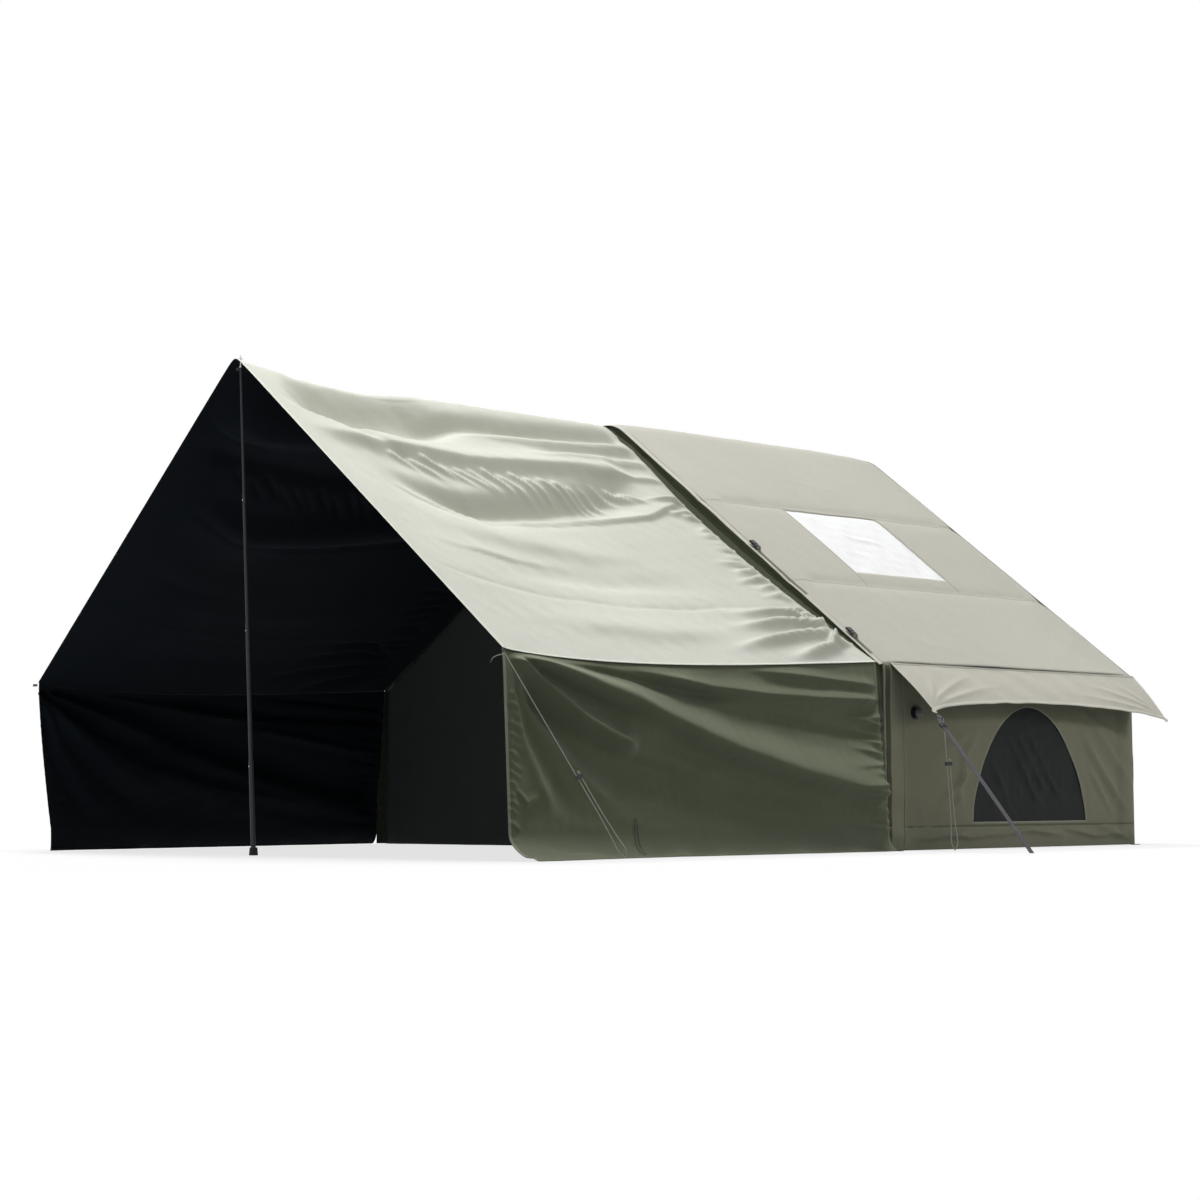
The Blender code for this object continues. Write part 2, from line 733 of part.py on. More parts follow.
# Push, then angle below the eave and half width in degrees, seen from the front eave corner
WALL_FOLDS = [
    (0.034, 16.0, 4.5),
    (-0.020, 9.0, 3.5),
    (-0.022, 23.0, 4.0),
    (0.024, 31.0, 4.0),
    (-0.016, 41.0, 5.0),
    (0.018, 53.0, 6.0),
    (-0.012, 66.0, 6.0),
]
FOLDS_START = 0.25
FOLDS_FULL = 0.75


def wall_fold(y, z):
    """Sideways push of the folds that fan out from the front corner of the eave."""
    across = y - Y_FRONT
    down = PORCH_EAVE_FRONT - z
    reach = math.hypot(across, down)
    angle = math.degrees(math.atan2(down, max(across, 1e-6)))
    grow = min(max((reach - FOLDS_START) / (FOLDS_FULL - FOLDS_START), 0.0), 1.0)
    rear = min(max((Y_PORCH_REAR - y) / 0.35, 0.0), 1.0)
    low = min(max((z - 0.06) / 0.2, 0.0), 1.0)
    push = sum(size * bump(angle, middle, width) for size, middle, width in WALL_FOLDS)
    return push * grow * rear * low


def skirt_reach(word, u):
    """The right skirt spreads at its front corner, the left one is drawn in there."""
    return SKIRT_REACH * (SKIRT_REST + SKIRT_FLARE[word] * bump(u, 0.0, SKIRT_FLARE_RUN))


SKIRT_FROM = 0.78
WALL_UNDER_EAVE = 0.0095
WALL_LINES = (
    0.0, 0.05, 0.11, 0.18, 0.25, 0.32, 0.39, 0.46, 0.53, 0.60, 0.69, SKIRT_FROM, 0.85, 0.92, 1.0,
)


def wall_point(word, u, v):
    """Porch wall surface: u from front to rear, v from the eave down and out over the skirt."""
    eave = porch_eave(u) - WALL_UNDER_EAVE
    front = WALL_BASE_FRONT[word]
    base = front + (WALL_BASE_REAR - front) * u
    if v <= SKIRT_FROM:
        t = v / SKIRT_FROM
        z = eave + (SKIRT_HEIGHT - eave) * t
        x = porch_half(u) + (base - porch_half(u)) * t ** 1.5
    else:
        t = (v - SKIRT_FROM) / (1 - SKIRT_FROM)
        angle = 0.5 * math.pi * t
        reach = skirt_reach(word, u)
        z = SKIRT_HEIGHT - (SKIRT_HEIGHT - CLOTH) * math.sin(angle)
        x = base + reach * (1 - math.cos(angle))
    y = porch_y(u, z)
    return x + wall_fold(y, z), y, z


def make_porch_walls(cloth, steps=24):
    """A wall under each eave of the canopy, with its skirt turned out on the ground."""
    for word, side in (("left", -1.0), ("right", 1.0)):
        rows = []
        for i in range(steps + 1):
            row = [wall_point(word, i / steps, v) for v in WALL_LINES]
            row = [Vector((side * x, y, z)) for x, y, z in row]
            rows.append(row[::-1] if side > 0 else row)
        cloth_grid(f"{word}_porch_wall", rows, cloth)


def pole_axis():
    foot = Vector((0.0, Y_FRONT + APEX_BACK, 0.0))
    top = Vector((0.0, Y_FRONT - FRONT_LEAN * POLE_HEIGHT + APEX_BACK, POLE_HEIGHT))
    return foot, (top - foot).normalized()


def pole_point(height):
    foot, along = pole_axis()
    return foot + along * (height / along.z)


def make_pole(steel, rubber, plated):
    """Four telescoping tubes, their foot and the pin that holds the canopy's eyelet."""
    foot, along = pole_axis()
    low = POLE_START
    tubes = []
    for name, radius, high in POLE_SECTIONS:
        profile = pipe_profile(radius, radius - POLE_WALL, low, high)
        tubes.append(turned(name, profile, foot, along, steel, 16))
        low = high - POLE_INSERT
    make_buttons(tubes, plated)
    base, swell, neck, socket = POLE_FOOT_RADII
    floor = POLE_START - 0.0014
    profile = [
        (0.0, 0.0), (base, 0.0), (swell, 0.004), (neck, POLE_FOOT_HEIGHT - 0.001),
        (socket, POLE_FOOT_HEIGHT), (socket, floor), (0.0, floor),
    ]
    turned("pole_foot", profile, foot, (0.0, 0.0, 1.0), rubber, 16)
    name, radius, top = POLE_SECTIONS[-1]
    plug = radius - POLE_WALL - 0.0004
    seat = top + 0.0006
    tip = POLE_HEIGHT + PIN_PROUD
    profile = [
        (0.0, top - PIN_PLUG), (plug, top - PIN_PLUG), (plug, seat), (PIN_FLANGE, seat),
        (PIN_FLANGE, seat + 0.0044), (PIN_RADIUS, seat + 0.0074), (PIN_RADIUS, tip - 0.004),
        (PIN_RADIUS - 0.0015, tip), (0.0, tip),
    ]
    turned("pole_top_pin", profile, foot, along, plated, 12)


def make_buttons(tubes, plated):
    """A snap button through the two tube walls at each joint of the pole."""
    foot, along = pole_axis()
    forward = Vector((0.0, -1.0, 0.0))
    forward = (forward - along * forward.dot(along)).normalized()
    for k, (outer, inner) in enumerate(zip(POLE_SECTIONS, POLE_SECTIONS[1:])):
        centre = foot + along * (outer[2] - BUTTON_BELOW_JOINT)
        start = centre + forward * (inner[1] - BUTTON_INSIDE)
        length = outer[1] + BUTTON_PROUD - inner[1] + BUTTON_INSIDE
        profile = [
            (0.0, 0.0), (BUTTON_RADIUS, 0.0), (BUTTON_RADIUS, length - 0.0008),
            (BUTTON_RADIUS - 0.0008, length), (0.0, length),
        ]
        turned(f"pole_snap_button_{k + 1}", profile, start, forward, plated, 10)
        drill = rod_between(
            f"button_drill_{k + 1}", centre, centre + forward * 0.03, BUTTON_RADIUS + 0.0007, 10
        )
        cut(tubes[k], drill)
        cut(tubes[k + 1], drill)


def make_eyelet(plated):
    """Metal ring that lies on the canopy's peak, round the pole's pin."""
    profile = pipe_profile(EYELET_RADIUS, PIN_RADIUS + 0.0012, 0.0, EYELET_THICKNESS)
    top = pole_point(POLE_HEIGHT)
    peak = canopy_point(0.0, 0.0).z
    start = Vector((0.0, top.y, max(peak, top.z) + 0.0012))
    turned("canopy_eyelet", profile, start, (0.0, 0.0, 1.0), plated, 16)


# Lines and fittings

def world(point):
    return Vector((point[0], point[1] + Y_FRONT, point[2]))


def smooth_path(points, count):
    """Evenly spaced points along a smooth curve through the given ones."""
    dense = []
    padded = [points[0] * 2 - points[1]] + points + [points[-1] * 2 - points[-2]]
    for a, b, c, d in zip(padded, padded[1:], padded[2:], padded[3:]):
        for k in range(24):
            t = k / 24
            dense.append(
                0.5 * ((2 * b) + (c - a) * t + (2 * a - 5 * b + 4 * c - d) * t ** 2
                       + (3 * b - a - 3 * c + d) * t ** 3)
            )
    dense.append(points[-1])
    lengths = [0.0]
    for first, second in zip(dense, dense[1:]):
        lengths.append(lengths[-1] + (second - first).length)
    path = []
    place = 0
    for k in range(count):
        goal = lengths[-1] * k / (count - 1)
        while place < len(dense) - 2 and lengths[place + 1] < goal:
            place += 1
        span = lengths[place + 1] - lengths[place]
        path.append(dense[place].lerp(dense[place + 1], (goal - lengths[place]) / span))
    return path


def cord_tube(name, path, radius, material):
    """A cord as a round bevelled curve."""
    data = bpy.data.curves.new(name, "CURVE")
    data.dimensions = "3D"
    spline = data.splines.new("POLY")
    spline.points.add(len(path) - 1)
    for slot, point in zip(spline.points, path):
        slot.co = (*point, 1.0)
    data.bevel_depth = radius
    data.bevel_resolution = 2
    data.use_fill_caps = True
    data.materials.append(material)
    thing = bpy.data.objects.new(name, data)
    bpy.context.scene.collection.objects.link(thing)
    return thing


def guy_route(top, foot, runner_at, side):
    """Down from the top to the ground, round the peg and back up to the runner."""
    along = (foot - top).normalized()
    step = (side - along * side.dot(along)).normalized()
    knot = top + (foot - top) * runner_at
    low = foot - along * 0.20
    first = [top, top.lerp(knot, 0.35), top.lerp(knot, 0.7), knot, knot.lerp(low, 0.5), low]
    spread = step * LOOP_SPREAD
    narrow = step * STRAND_SPACING
    bend = [
        foot - along * 0.10 - spread * 0.10,
        foot - along * 0.035 - spread * 0.20,
        foot - along * 0.010 + narrow * 0.05,
        foot + narrow * 0.5,
        foot - along * 0.010 + narrow * 0.95,
        foot - along * 0.035 + narrow + spread * 0.20,
        foot - along * 0.10 + narrow + spread * 0.10,
    ]
    straight = low - along * 0.03
    first.insert(-1, straight)
    back = [low + narrow, straight + narrow, knot.lerp(low, 0.5) + narrow]
    back.append(knot + along * 0.004 + narrow)
    return first + bend + back


def runner_block(name, route_top, route_foot, runner_at, side, plastic):
    """Two-hole slider on the pair of strands just below the knot."""
    along = (route_foot - route_top).normalized()
    step = (side - along * side.dot(along)).normalized()
    other = along.cross(step)
    knot = route_top + (route_foot - route_top) * runner_at
    centre = knot + along * RUNNER_BELOW_KNOT
    middle = centre + step * (STRAND_SPACING / 2)
    turn = Matrix((step, other, along)).transposed().to_4x4()
    slider = block(name, RUNNER, middle, turn, plastic, 0.0015)
    for k in range(2):
        drill = rod_between(
            f"{name}_hole_{k + 1}", centre - along * 0.03, centre + along * 0.03,
            CORD_RADIUS + 0.0010, 10,
        )
        cut(slider, drill)
        centre = centre + step * STRAND_SPACING


def make_guy_lines(cord, plastic):
    for word, top, foot, runner_at, side in (
        ("front_guy", FRONT_GUY_TOP, FRONT_GUY_FOOT, FRONT_RUNNER_AT, GUY_SIDE),
        ("awning_guy", AWNING_GUY_TOP, AWNING_GUY_FOOT, AWNING_RUNNER_AT, GUY_SIDE),
    ):
        route = guy_route(world(top), world(foot), runner_at, side)
        cord_tube(f"{word}_line", smooth_path(route, 60), CORD_RADIUS, cord)
        runner_block(f"{word}_runner", world(top), world(foot), runner_at, side, plastic)


def make_wall_tie(cord):
    route = [world(point) for point in TIE_LOOP]
    cord_tube("wall_tie_loop", smooth_path(route, 26), TIE_RADIUS, cord)


def make_strap(webbing, plastic):
    """Flat webbing from the awning's front corner to the ground, with its slide."""
    top, foot = world(STRAP_TOP), world(STRAP_FOOT)
    along = (foot - top).normalized()
    flat = along.cross(Vector((0.0, 0.0, 1.0))).normalized()
    out = flat.cross(along)
    turn = Matrix((flat, out, along)).transposed().to_4x4()
    length = (foot - top).length
    size = (STRAP_WIDTH, STRAP_THICKNESS, length)
    block("awning_strap", size, (top + foot) / 2, turn, webbing)
    middle = top + along * STRAP_SLIDE_AT
    slide = block("strap_slide", STRAP_SLIDE, middle, turn, plastic, 0.0018)
    size = (STRAP_WIDTH + 0.0014, STRAP_THICKNESS + 0.0014, 2 * STRAP_SLIDE[2])
    cut(slide, block("strap_slide_hole", size, middle, turn, plastic))


def make_peg_loop(name, middle, turn, webbing):
    """A flat oblong ring of webbing."""
    across, along, thick = PEG_LOOP
    shape = bmesh.new()
    loops = []
    for inset in (0.0, PEG_LOOP_BAND):
        for z in (-thick / 2, thick / 2):
            x, y = across / 2 - inset, along / 2 - inset
            corners = [(x, y), (-x, y), (-x, -y), (x, -y)]
            loops.append([shape.verts.new((*corner, z)) for corner in corners])
    ring = [loops[0], loops[1], loops[3], loops[2], loops[0]]
    for low, high in zip(ring, ring[1:]):
        for k in range(4):
            n = (k + 1) % 4
            shape.faces.new((low[k], low[n], high[n], high[k]))
    bmesh.ops.recalc_face_normals(shape, faces=list(shape.faces))
    thing = from_bmesh(name, shape, webbing, smooth=False)
    thing.matrix_world = Matrix.Translation(middle) @ turn


def make_peg_loops(webbing):
    """Webbing loops at the four feet of the main tent, lying on the ground."""
    turn = Matrix.Rotation(math.radians(90), 4, "Z")
    out = HALF_WIDTH - CLOTH + PEG_LOOP[1] / 2 + 0.002
    for word, side in (("left", -1.0), ("right", 1.0)):
        for end, y in (("front", Y_MAIN + 0.05), ("rear", Y_REAR - 0.04)):
            middle = Vector((side * out, y, PEG_LOOP[2] / 2))
            make_peg_loop(f"{end}_{word}_peg_loop", middle, turn, webbing)


def make_corner_tabs(webbing):
    """Webbing tabs that hold the lines at the porch eave corners and the awning corners."""
    for word, side in (("left", -1.0), ("right", 1.0)):
        place = Vector((side * 1.757, Y_FRONT - 0.042, 0.815))
        tilt = Matrix.Rotation(math.radians(-side * 50), 4, "Y")
        turn = Matrix.Rotation(math.radians(side * 40), 4, "Z") @ tilt
        block(f"{word}_eave_tab", EAVE_TAB, place, turn, webbing)
        place = Vector((side * 2.0725, Y_FRONT + 2.246, 0.5975))
        turn = Matrix.Rotation(math.radians(side * 43), 4, "Y")
        block(f"{word}_awning_tab", AWNING_TAB, place, turn, webbing)


def clip_frame(x, side):
    """Place on the roof's front hem, with Y down the slope and Z out of the cloth."""
    down = Vector((side * math.cos(PITCH), 0.0, -math.sin(PITCH)))
    out = Vector((side * math.sin(PITCH), 0.0, math.cos(PITCH)))
    turn = Matrix((down.cross(out), down, out)).transposed().to_4x4()
    return Vector((side * x, CLIP_Y, roof_at(x))), down, out, turn


def make_roof_clips(plastic):
    """Side-release clips on the roof's front hem, each a socket and a pronged tongue."""
    width, length, thick = CLIP
    hollow_size = (width - 2 * CLIP_WALL[0], length, thick - 2 * CLIP_WALL[1])
    for word, side in (("left", -1.0), ("right", 1.0)):
        for level, x in CLIP_PLACES:
            place, down, out, turn = clip_frame(x, side)
            name = f"{word}_{level}_clip"
            middle = place + out * (thick / 2 + 0.0006)
            socket = block(f"{name}_socket", CLIP, middle, turn, plastic, 0.002)
            inside = middle + down * 0.010
            cut(socket, block(f"{name}_hollow", hollow_size, inside, turn, plastic))
            mouth = middle + down * (length / 2)
            grip = mouth + down * CLIP_GRIP_OUT
            prong = block(f"{name}_prong", CLIP_GRIP, grip, turn, plastic, 0.0015)
            tongue = block(f"{name}_tongue", CLIP_TONGUE, mouth + down * 0.001, turn, plastic)
            unite(prong, tongue)


def build():
    clear_scene()
    beige = finish_of("roof_cloth", (0.57, 0.55, 0.47), 0.75)
    porch_light = finish_of("porch_roof_cloth", (0.60, 0.61, 0.54), 0.70)
    olive = finish_of("wall_cloth", (0.105, 0.115, 0.075), 0.80)
    porch_olive = finish_of("porch_wall_cloth", (0.075, 0.083, 0.055), 0.75)
    dark = finish_of("front_wall_cloth", (0.012, 0.014, 0.014), 0.85)
    door = finish_of("door_cloth", (0.013, 0.015, 0.014), 0.85)
    screen = finish_of("window_screen", (0.012, 0.014, 0.013), 0.80)
    film = finish_of("skylight_film", (0.88, 0.88, 0.88), 0.35)
    air = finish_of("air_tube", (0.35, 0.36, 0.35), 0.45)
    sleeve = finish_of("tube_sleeve", (0.060, 0.066, 0.048), 0.80)
    floor = finish_of("floor_sheet", (0.10, 0.11, 0.09), 0.60)
    steel = finish_of("pole_steel", (0.35, 0.36, 0.37), 0.35, 1.0)
    plated = finish_of("plated_metal", (0.60, 0.60, 0.60), 0.25, 1.0)
    rubber = finish_of("pole_rubber", (0.02, 0.02, 0.02), 0.85)
    plastic = finish_of("black_plastic", (0.015, 0.015, 0.016), 0.50)
    cord = finish_of("guy_cord", (0.12, 0.13, 0.11), 0.85)
    webbing = finish_of("strap_webbing", (0.075, 0.070, 0.080), 0.85)
    make_arches(air, sleeve)
    make_cross_beams(air)
    make_main_roof(beige)
    make_skylight(film)
    make_side_walls(olive, screen)
    make_end_walls(dark, olive)
    make_doors(door, plated)
    make_groundsheet(floor)
    make_awnings(beige)
    make_valve(plastic)
    make_canopy(porch_light)
    make_porch_walls(porch_olive)
    make_pole(steel, rubber, plated)
    make_eyelet(plated)
    make_guy_lines(cord, plastic)
    make_wall_tie(cord)
    make_strap(webbing, plastic)
    make_peg_loops(webbing)
    make_corner_tabs(webbing)
    make_roof_clips(plastic)


build()
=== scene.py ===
"""Cloth, lines, fittings and stage of the inflatable tent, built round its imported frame."""

import math
from contextlib import contextmanager

import bmesh
import bpy
import numpy as np
from bpy.props import FloatProperty, FloatVectorProperty, PointerProperty
from mathutils import Matrix, Vector


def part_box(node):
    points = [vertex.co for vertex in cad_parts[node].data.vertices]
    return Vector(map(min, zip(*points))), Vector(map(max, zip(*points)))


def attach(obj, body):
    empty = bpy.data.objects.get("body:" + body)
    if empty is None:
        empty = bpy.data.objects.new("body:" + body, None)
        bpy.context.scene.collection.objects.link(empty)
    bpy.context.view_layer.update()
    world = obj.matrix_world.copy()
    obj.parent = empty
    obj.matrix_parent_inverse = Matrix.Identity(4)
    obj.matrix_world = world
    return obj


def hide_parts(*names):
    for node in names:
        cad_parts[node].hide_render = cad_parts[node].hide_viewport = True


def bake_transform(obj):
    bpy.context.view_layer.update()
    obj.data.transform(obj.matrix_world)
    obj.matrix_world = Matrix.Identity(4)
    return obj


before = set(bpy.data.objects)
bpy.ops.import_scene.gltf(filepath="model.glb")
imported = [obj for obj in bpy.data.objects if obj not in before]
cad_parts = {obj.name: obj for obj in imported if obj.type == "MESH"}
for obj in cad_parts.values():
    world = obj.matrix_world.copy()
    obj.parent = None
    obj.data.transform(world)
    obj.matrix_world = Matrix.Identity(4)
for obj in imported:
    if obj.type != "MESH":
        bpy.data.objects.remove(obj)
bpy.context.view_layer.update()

bl_info = {
    "name": "Inflatable Glamping Tent",
    "version": (1, 0, 0),
    "blender": (4, 5, 0),
    "location": "View3D > Sidebar > Tent",
    "description": "Dresses a tent frame in cloth, lines and fittings and sets its stage",
    "category": "Object",
}

SIDES = {"left": -1.0, "right": 1.0}

# Main tent, in metres over the outer cloth
HALF_WIDTH = 1.8
EAVE_HEIGHT = 0.85
RIDGE_HEIGHT = 2.15
RIDGE_ROUND = 0.25
Y_FRONT = -2.04
Y_MAIN = 0.16
Y_REAR = 2.11
ROOF_FRONT = Y_MAIN - 0.025
ROOF_BACK = Y_REAR + 0.015

# Porch
PORCH_HALF = (1.74, 1.78)
PORCH_EAVE = (0.83, EAVE_HEIGHT)
PORCH_RIDGE = (2.2, 2.125)
Y_PORCH_REAR = Y_MAIN - 0.035
FRONT_LEAN = 0.04
RIDGE_SAG = 0.038
EAVE_SAG = 0.045
SLOPE_SAG = 0.06
RIDGE_SOFT = 0.012
WALL_UNDER_EAVE = 0.002
WALL_TUCK = 0.006
WALL_BASE = {"left": (1.652, 1.84), "right": (1.742, 1.84)}
SKIRT_FROM = 0.78
SKIRT_HEIGHT = 0.11
SKIRT_REACH = 0.17
SKIRT_FLARE = {"left": -0.19, "right": 0.75}

# Openings
WINDOW = {"middle": Y_FRONT + 3.28, "half": 0.45, "sill": 0.125, "rise": 0.545, "lean": 1.5}
DOOR = {"half": 0.5, "sill": 0.11, "spring": 1.22, "top": 1.65}
ARCH_Y = (Y_MAIN + 0.075, Y_REAR - 0.0775)
SKYLIGHT_Y = (Y_FRONT + 2.765, Y_FRONT + 3.47)
SKYLIGHT_X = (0.695, 1.16)
SEAM_X = (0.677, 1.248)

# Awnings
AWNING_Y = (Y_FRONT + 2.24, Y_FRONT + 4.15)
AWNING_START = (HALF_WIDTH + 0.0012, EAVE_HEIGHT - 0.0012)
AWNING_DROP = 0.236
AWNING_REACH = (0.257, 0.2)
AWNING_HOLLOW = 0.06
AWNING_CLOTH = (1.91, 0.34)

# Cloth and trim
CLOTH = 0.0012
HEM_THICK = 0.0011

# Lines
CORD_DIAMETER = 0.004
TIE_DIAMETER = 0.0032
STRAP_WIDTH = 0.025
STRAND_SPACING = 0.014
LOOP_SPREAD = 0.036
GUY_SIDE = Vector((0.6, 0.8, 0.0))
RUNNER_BELOW_KNOT = 0.022

# Route points, with y measured from Y_FRONT
FRONT_GUY = ((1.772, -0.052, 0.806), (2.105, 0.27, 0.008), 0.585)
AWNING_GUY = ((2.08, 2.266, 0.59), (2.14, 2.246, 0.008), 0.31)
STRAP_ROUTE = ((2.086, 2.222, 0.588), (2.65, 2.124, 0.004))
TIE_LOOP = [
    (1.7726, 0.648, 0.16), (1.776, 0.647, 0.122), (1.7785, 0.646, 0.088), (1.785, 0.645, 0.06),
    (1.797, 0.644, 0.04), (1.81, 0.645, 0.026), (1.822, 0.65, 0.018),
    (1.828, 0.656, 0.015), (1.8215, 0.662, 0.0182), (1.809, 0.665, 0.0262),
    (1.796, 0.665, 0.0402), (1.784, 0.665, 0.0602), (1.7775, 0.664, 0.0885),
    (1.775, 0.662, 0.122), (1.772, 0.66, 0.16),
]


def number(name, default, note, **more):
    return FloatProperty(name=name, description=note, default=default, **more)


def length(name, default, note):
    return number(name, default, note, unit="LENGTH", precision=4)


def colour(name, default, note):
    return FloatVectorProperty(
        name=name, description=note, default=default, size=3, subtype="COLOR", min=0.0, max=1.0
    )


class TentSizes(bpy.types.PropertyGroup):
    """Sizes of the cloth's finish that a user would change."""

    fold_depth: number("Fold depth", 1.0, "Scale of every fold", min=0, max=2, subtype="FACTOR")
    thread: length("Thread", 0.0012, "Spacing of the threads in the canvas")
    net: length("Net", 0.0016, "Spacing of the threads in the window screens")
    stitch: length("Stitch", 0.0045, "Length of one stitch with its gap")
    hem: length("Hem", 0.02, "Width of the folded hems")


class TentColours(bpy.types.PropertyGroup):
    """Colours of the tent's finishes."""

    porch_roof: colour("Porch roof", (0.665, 0.678, 0.594), "Canvas of the porch canopy")
    main_roof: colour("Main roof", (0.51, 0.5, 0.432), "Canvas of the main roof")
    awning: colour("Awnings", (0.54, 0.526, 0.448), "Canvas of the side awnings")
    porch_wall: colour("Porch walls", (0.16, 0.181, 0.11), "Canvas of the porch walls")
    wall: colour("Walls", (0.262, 0.268, 0.182), "Canvas of the main walls")
    lining: colour("Lining", (0.005, 0.0078, 0.0112), "Black-out coat inside the porch")
    inner: colour("Inner wall", (0.13, 0.157, 0.145), "Wall between porch and room")
    screen: colour("Screens", (0.0065, 0.0088, 0.0084), "Net of the windows")
    film: colour("Skylight", (0.88, 0.885, 0.885), "Milky film of the skylight")
    air: colour("Air tubes", (0.36, 0.37, 0.36), "Film of the inflated tubes")
    sleeve: colour("Sleeves", (0.06, 0.068, 0.05), "Cloth round the arch tubes")
    floor_sheet: colour("Floor sheet", (0.105, 0.115, 0.09), "Coated floor sheet")
    piping: colour("Piping", (0.34, 0.35, 0.27), "Light edge of walls and windows")
    strap: colour("Webbing", (0.066, 0.062, 0.072), "Webbing straps and loops")
    cord: colour("Cords", (0.56, 0.565, 0.53), "Guy lines")
    plastic: colour("Plastic", (0.016, 0.016, 0.018), "Clips, runners and valve")
    steel: colour("Pole", (0.045, 0.053, 0.06), "Tubes of the front pole")
    plated: colour("Plated metal", (0.66, 0.66, 0.64), "Eyelet, pin and buttons")
    rubber: colour("Rubber", (0.02, 0.02, 0.021), "Foot of the pole")


class TentStage(bpy.types.PropertyGroup):
    """Camera, lamps and floor."""

    place: FloatVectorProperty(
        name="Camera", description="Camera's place", default=(8.7612, -8.2104, 0.2279),
        subtype="XYZ", unit="LENGTH",
    )
    heading: number("Heading", 0.8117, "Turn to the left of +Y", subtype="ANGLE")
    tilt: number("Tilt", 0.0839, "Angle above level", subtype="ANGLE")
    roll: number("Roll", -0.0049, "Turn about the line of sight", subtype="ANGLE")
    lens: number("Lens", 71.97, "Focal length in millimetres")
    sky: number("Sky", 0.15, "Strength of the even light")
    key: number("Key", 1020.0, "Power of the overhead lamp")
    side: number("Side", 890.0, "Power of the high side lamp")
    fill: number("Fill", 45.0, "Power of the low side lamp")
    spot: number("Spot", 450.0, "Power of the lamp under the awning")
    ground: colour("Ground", (0.9, 0.9, 0.9), "Studio floor")


def sizes():
    return bpy.context.scene.tent_sizes


def colours():
    return bpy.context.scene.tent_colours


# Shapes of the tent's sheets


def roof_pitch():
    """Roof angle whose rounded ridge comes out at the ridge height."""
    angle = math.atan2(RIDGE_HEIGHT - EAVE_HEIGHT, HALF_WIDTH)
    for _ in range(20):
        peak = RIDGE_HEIGHT + RIDGE_ROUND * (1 / math.cos(angle) - 1)
        angle = math.atan2(peak - EAVE_HEIGHT, HALF_WIDTH)
    return angle


PITCH = roof_pitch()
PEAK = EAVE_HEIGHT + HALF_WIDTH * math.tan(PITCH)
ROUND_HALF = RIDGE_ROUND * math.sin(PITCH)


def roof_at(x):
    """Height of the roof over x, with the rounded ridge."""
    x = np.abs(x)
    flat = PEAK - x * math.tan(PITCH)
    inside = np.sqrt(np.maximum(RIDGE_ROUND ** 2 - np.minimum(x, ROUND_HALF) ** 2, 0.0))
    curve = RIDGE_HEIGHT - RIDGE_ROUND + inside
    return np.where(x < ROUND_HALF, curve, flat)


def blend_of(pair, u):
    return pair[0] + (pair[1] - pair[0]) * u


def porch_ridge(u):
    return blend_of(PORCH_RIDGE, u) - RIDGE_SAG * np.sin(np.pi * np.sqrt(u)) ** 2


def porch_eave(u):
    return blend_of(PORCH_EAVE, u) - EAVE_SAG * np.sin(np.pi * u ** 0.7)


def porch_y(u, z):
    return (Y_FRONT - FRONT_LEAN * z) * (1 - u) + Y_PORCH_REAR * u


def bump(value, middle, width):
    return np.exp(-(((value - middle) / width) ** 2))


def smooth_step(value):
    value = np.clip(value, 0.0, 1.0)
    return value * value * (3 - 2 * value)


def rumple(a, b, scale, seed, waves=7):
    """Smooth random height between about -1 and 1, with features of that size."""
    draw = np.random.RandomState(seed)
    total = np.zeros(np.broadcast(a, b).shape)
    for _ in range(waves):
        turn = draw.uniform(0, 2 * math.pi)
        pitch = draw.uniform(0.7, 1.6) * 2 * math.pi / scale
        phase = draw.uniform(0, 2 * math.pi)
        total += np.sin((a * math.cos(turn) + b * math.sin(turn)) * pitch + phase)
    return total / math.sqrt(waves)


def along_path(a, b, path):
    """Signed distance from a path, positive on its left, and how far along it, from 0 to 1."""
    points = np.array(path, float)
    steps = np.diff(points, axis=0)
    lengths = np.hypot(steps[:, 0], steps[:, 1])
    whole = lengths.sum()
    best = np.full(np.broadcast(a, b).shape, 1e9)
    signed = np.zeros_like(best)
    place = np.zeros_like(best)
    done = 0.0
    for start, step, size in zip(points[:-1], steps, lengths):
        da, db = a - start[0], b - start[1]
        t = np.clip((da * step[0] + db * step[1]) / size ** 2, 0.0, 1.0)
        gap = np.hypot(da - t * step[0], db - t * step[1])
        side = np.where(step[0] * db - step[1] * da >= 0, 1.0, -1.0)
        closer = gap < best
        best = np.where(closer, gap, best)
        signed = np.where(closer, gap * side, signed)
        place = np.where(closer, (done + t * size) / whole, place)
        done += size
    return signed, place


def fold(a, b, path, height, left, right, fade=(0.25, 0.25), sharp=2.0, grow=0.0):
    """Height of one fold along a path, with its own width on each side.

    fade says over what share of its length it comes and goes, and grow widens it on its way.
    """
    signed, place = along_path(a, b, path)
    width = np.where(signed > 0, left, right) * (1 - grow + 2 * grow * place)
    ends = smooth_step(place / max(fade[0], 1e-6)) * smooth_step((1 - place) / max(fade[1], 1e-6))
    return height * ends * np.exp(-np.abs(signed / width) ** sharp)


def spaced(start, end, count, dense=()):
    """Values from start to end, closer together by factor round each (middle, reach, factor)."""
    fine = np.linspace(start, end, 4000)
    weight = np.ones_like(fine)
    for middle, reach, factor in dense:
        weight += (factor - 1) * np.exp(-np.abs((fine - middle) / reach) ** 4)
    travelled = np.concatenate([[0.0], np.cumsum((weight[1:] + weight[:-1]) / 2)])
    return np.interp(np.linspace(0.0, travelled[-1], count), travelled, fine)


def travelled(points, way=0):
    """Distance travelled from the start to each point, along one way of an array of points."""
    first = points.take([0], axis=way)
    steps = np.linalg.norm(np.diff(points, axis=way, prepend=first), axis=-1)
    return steps.cumsum(axis=way)


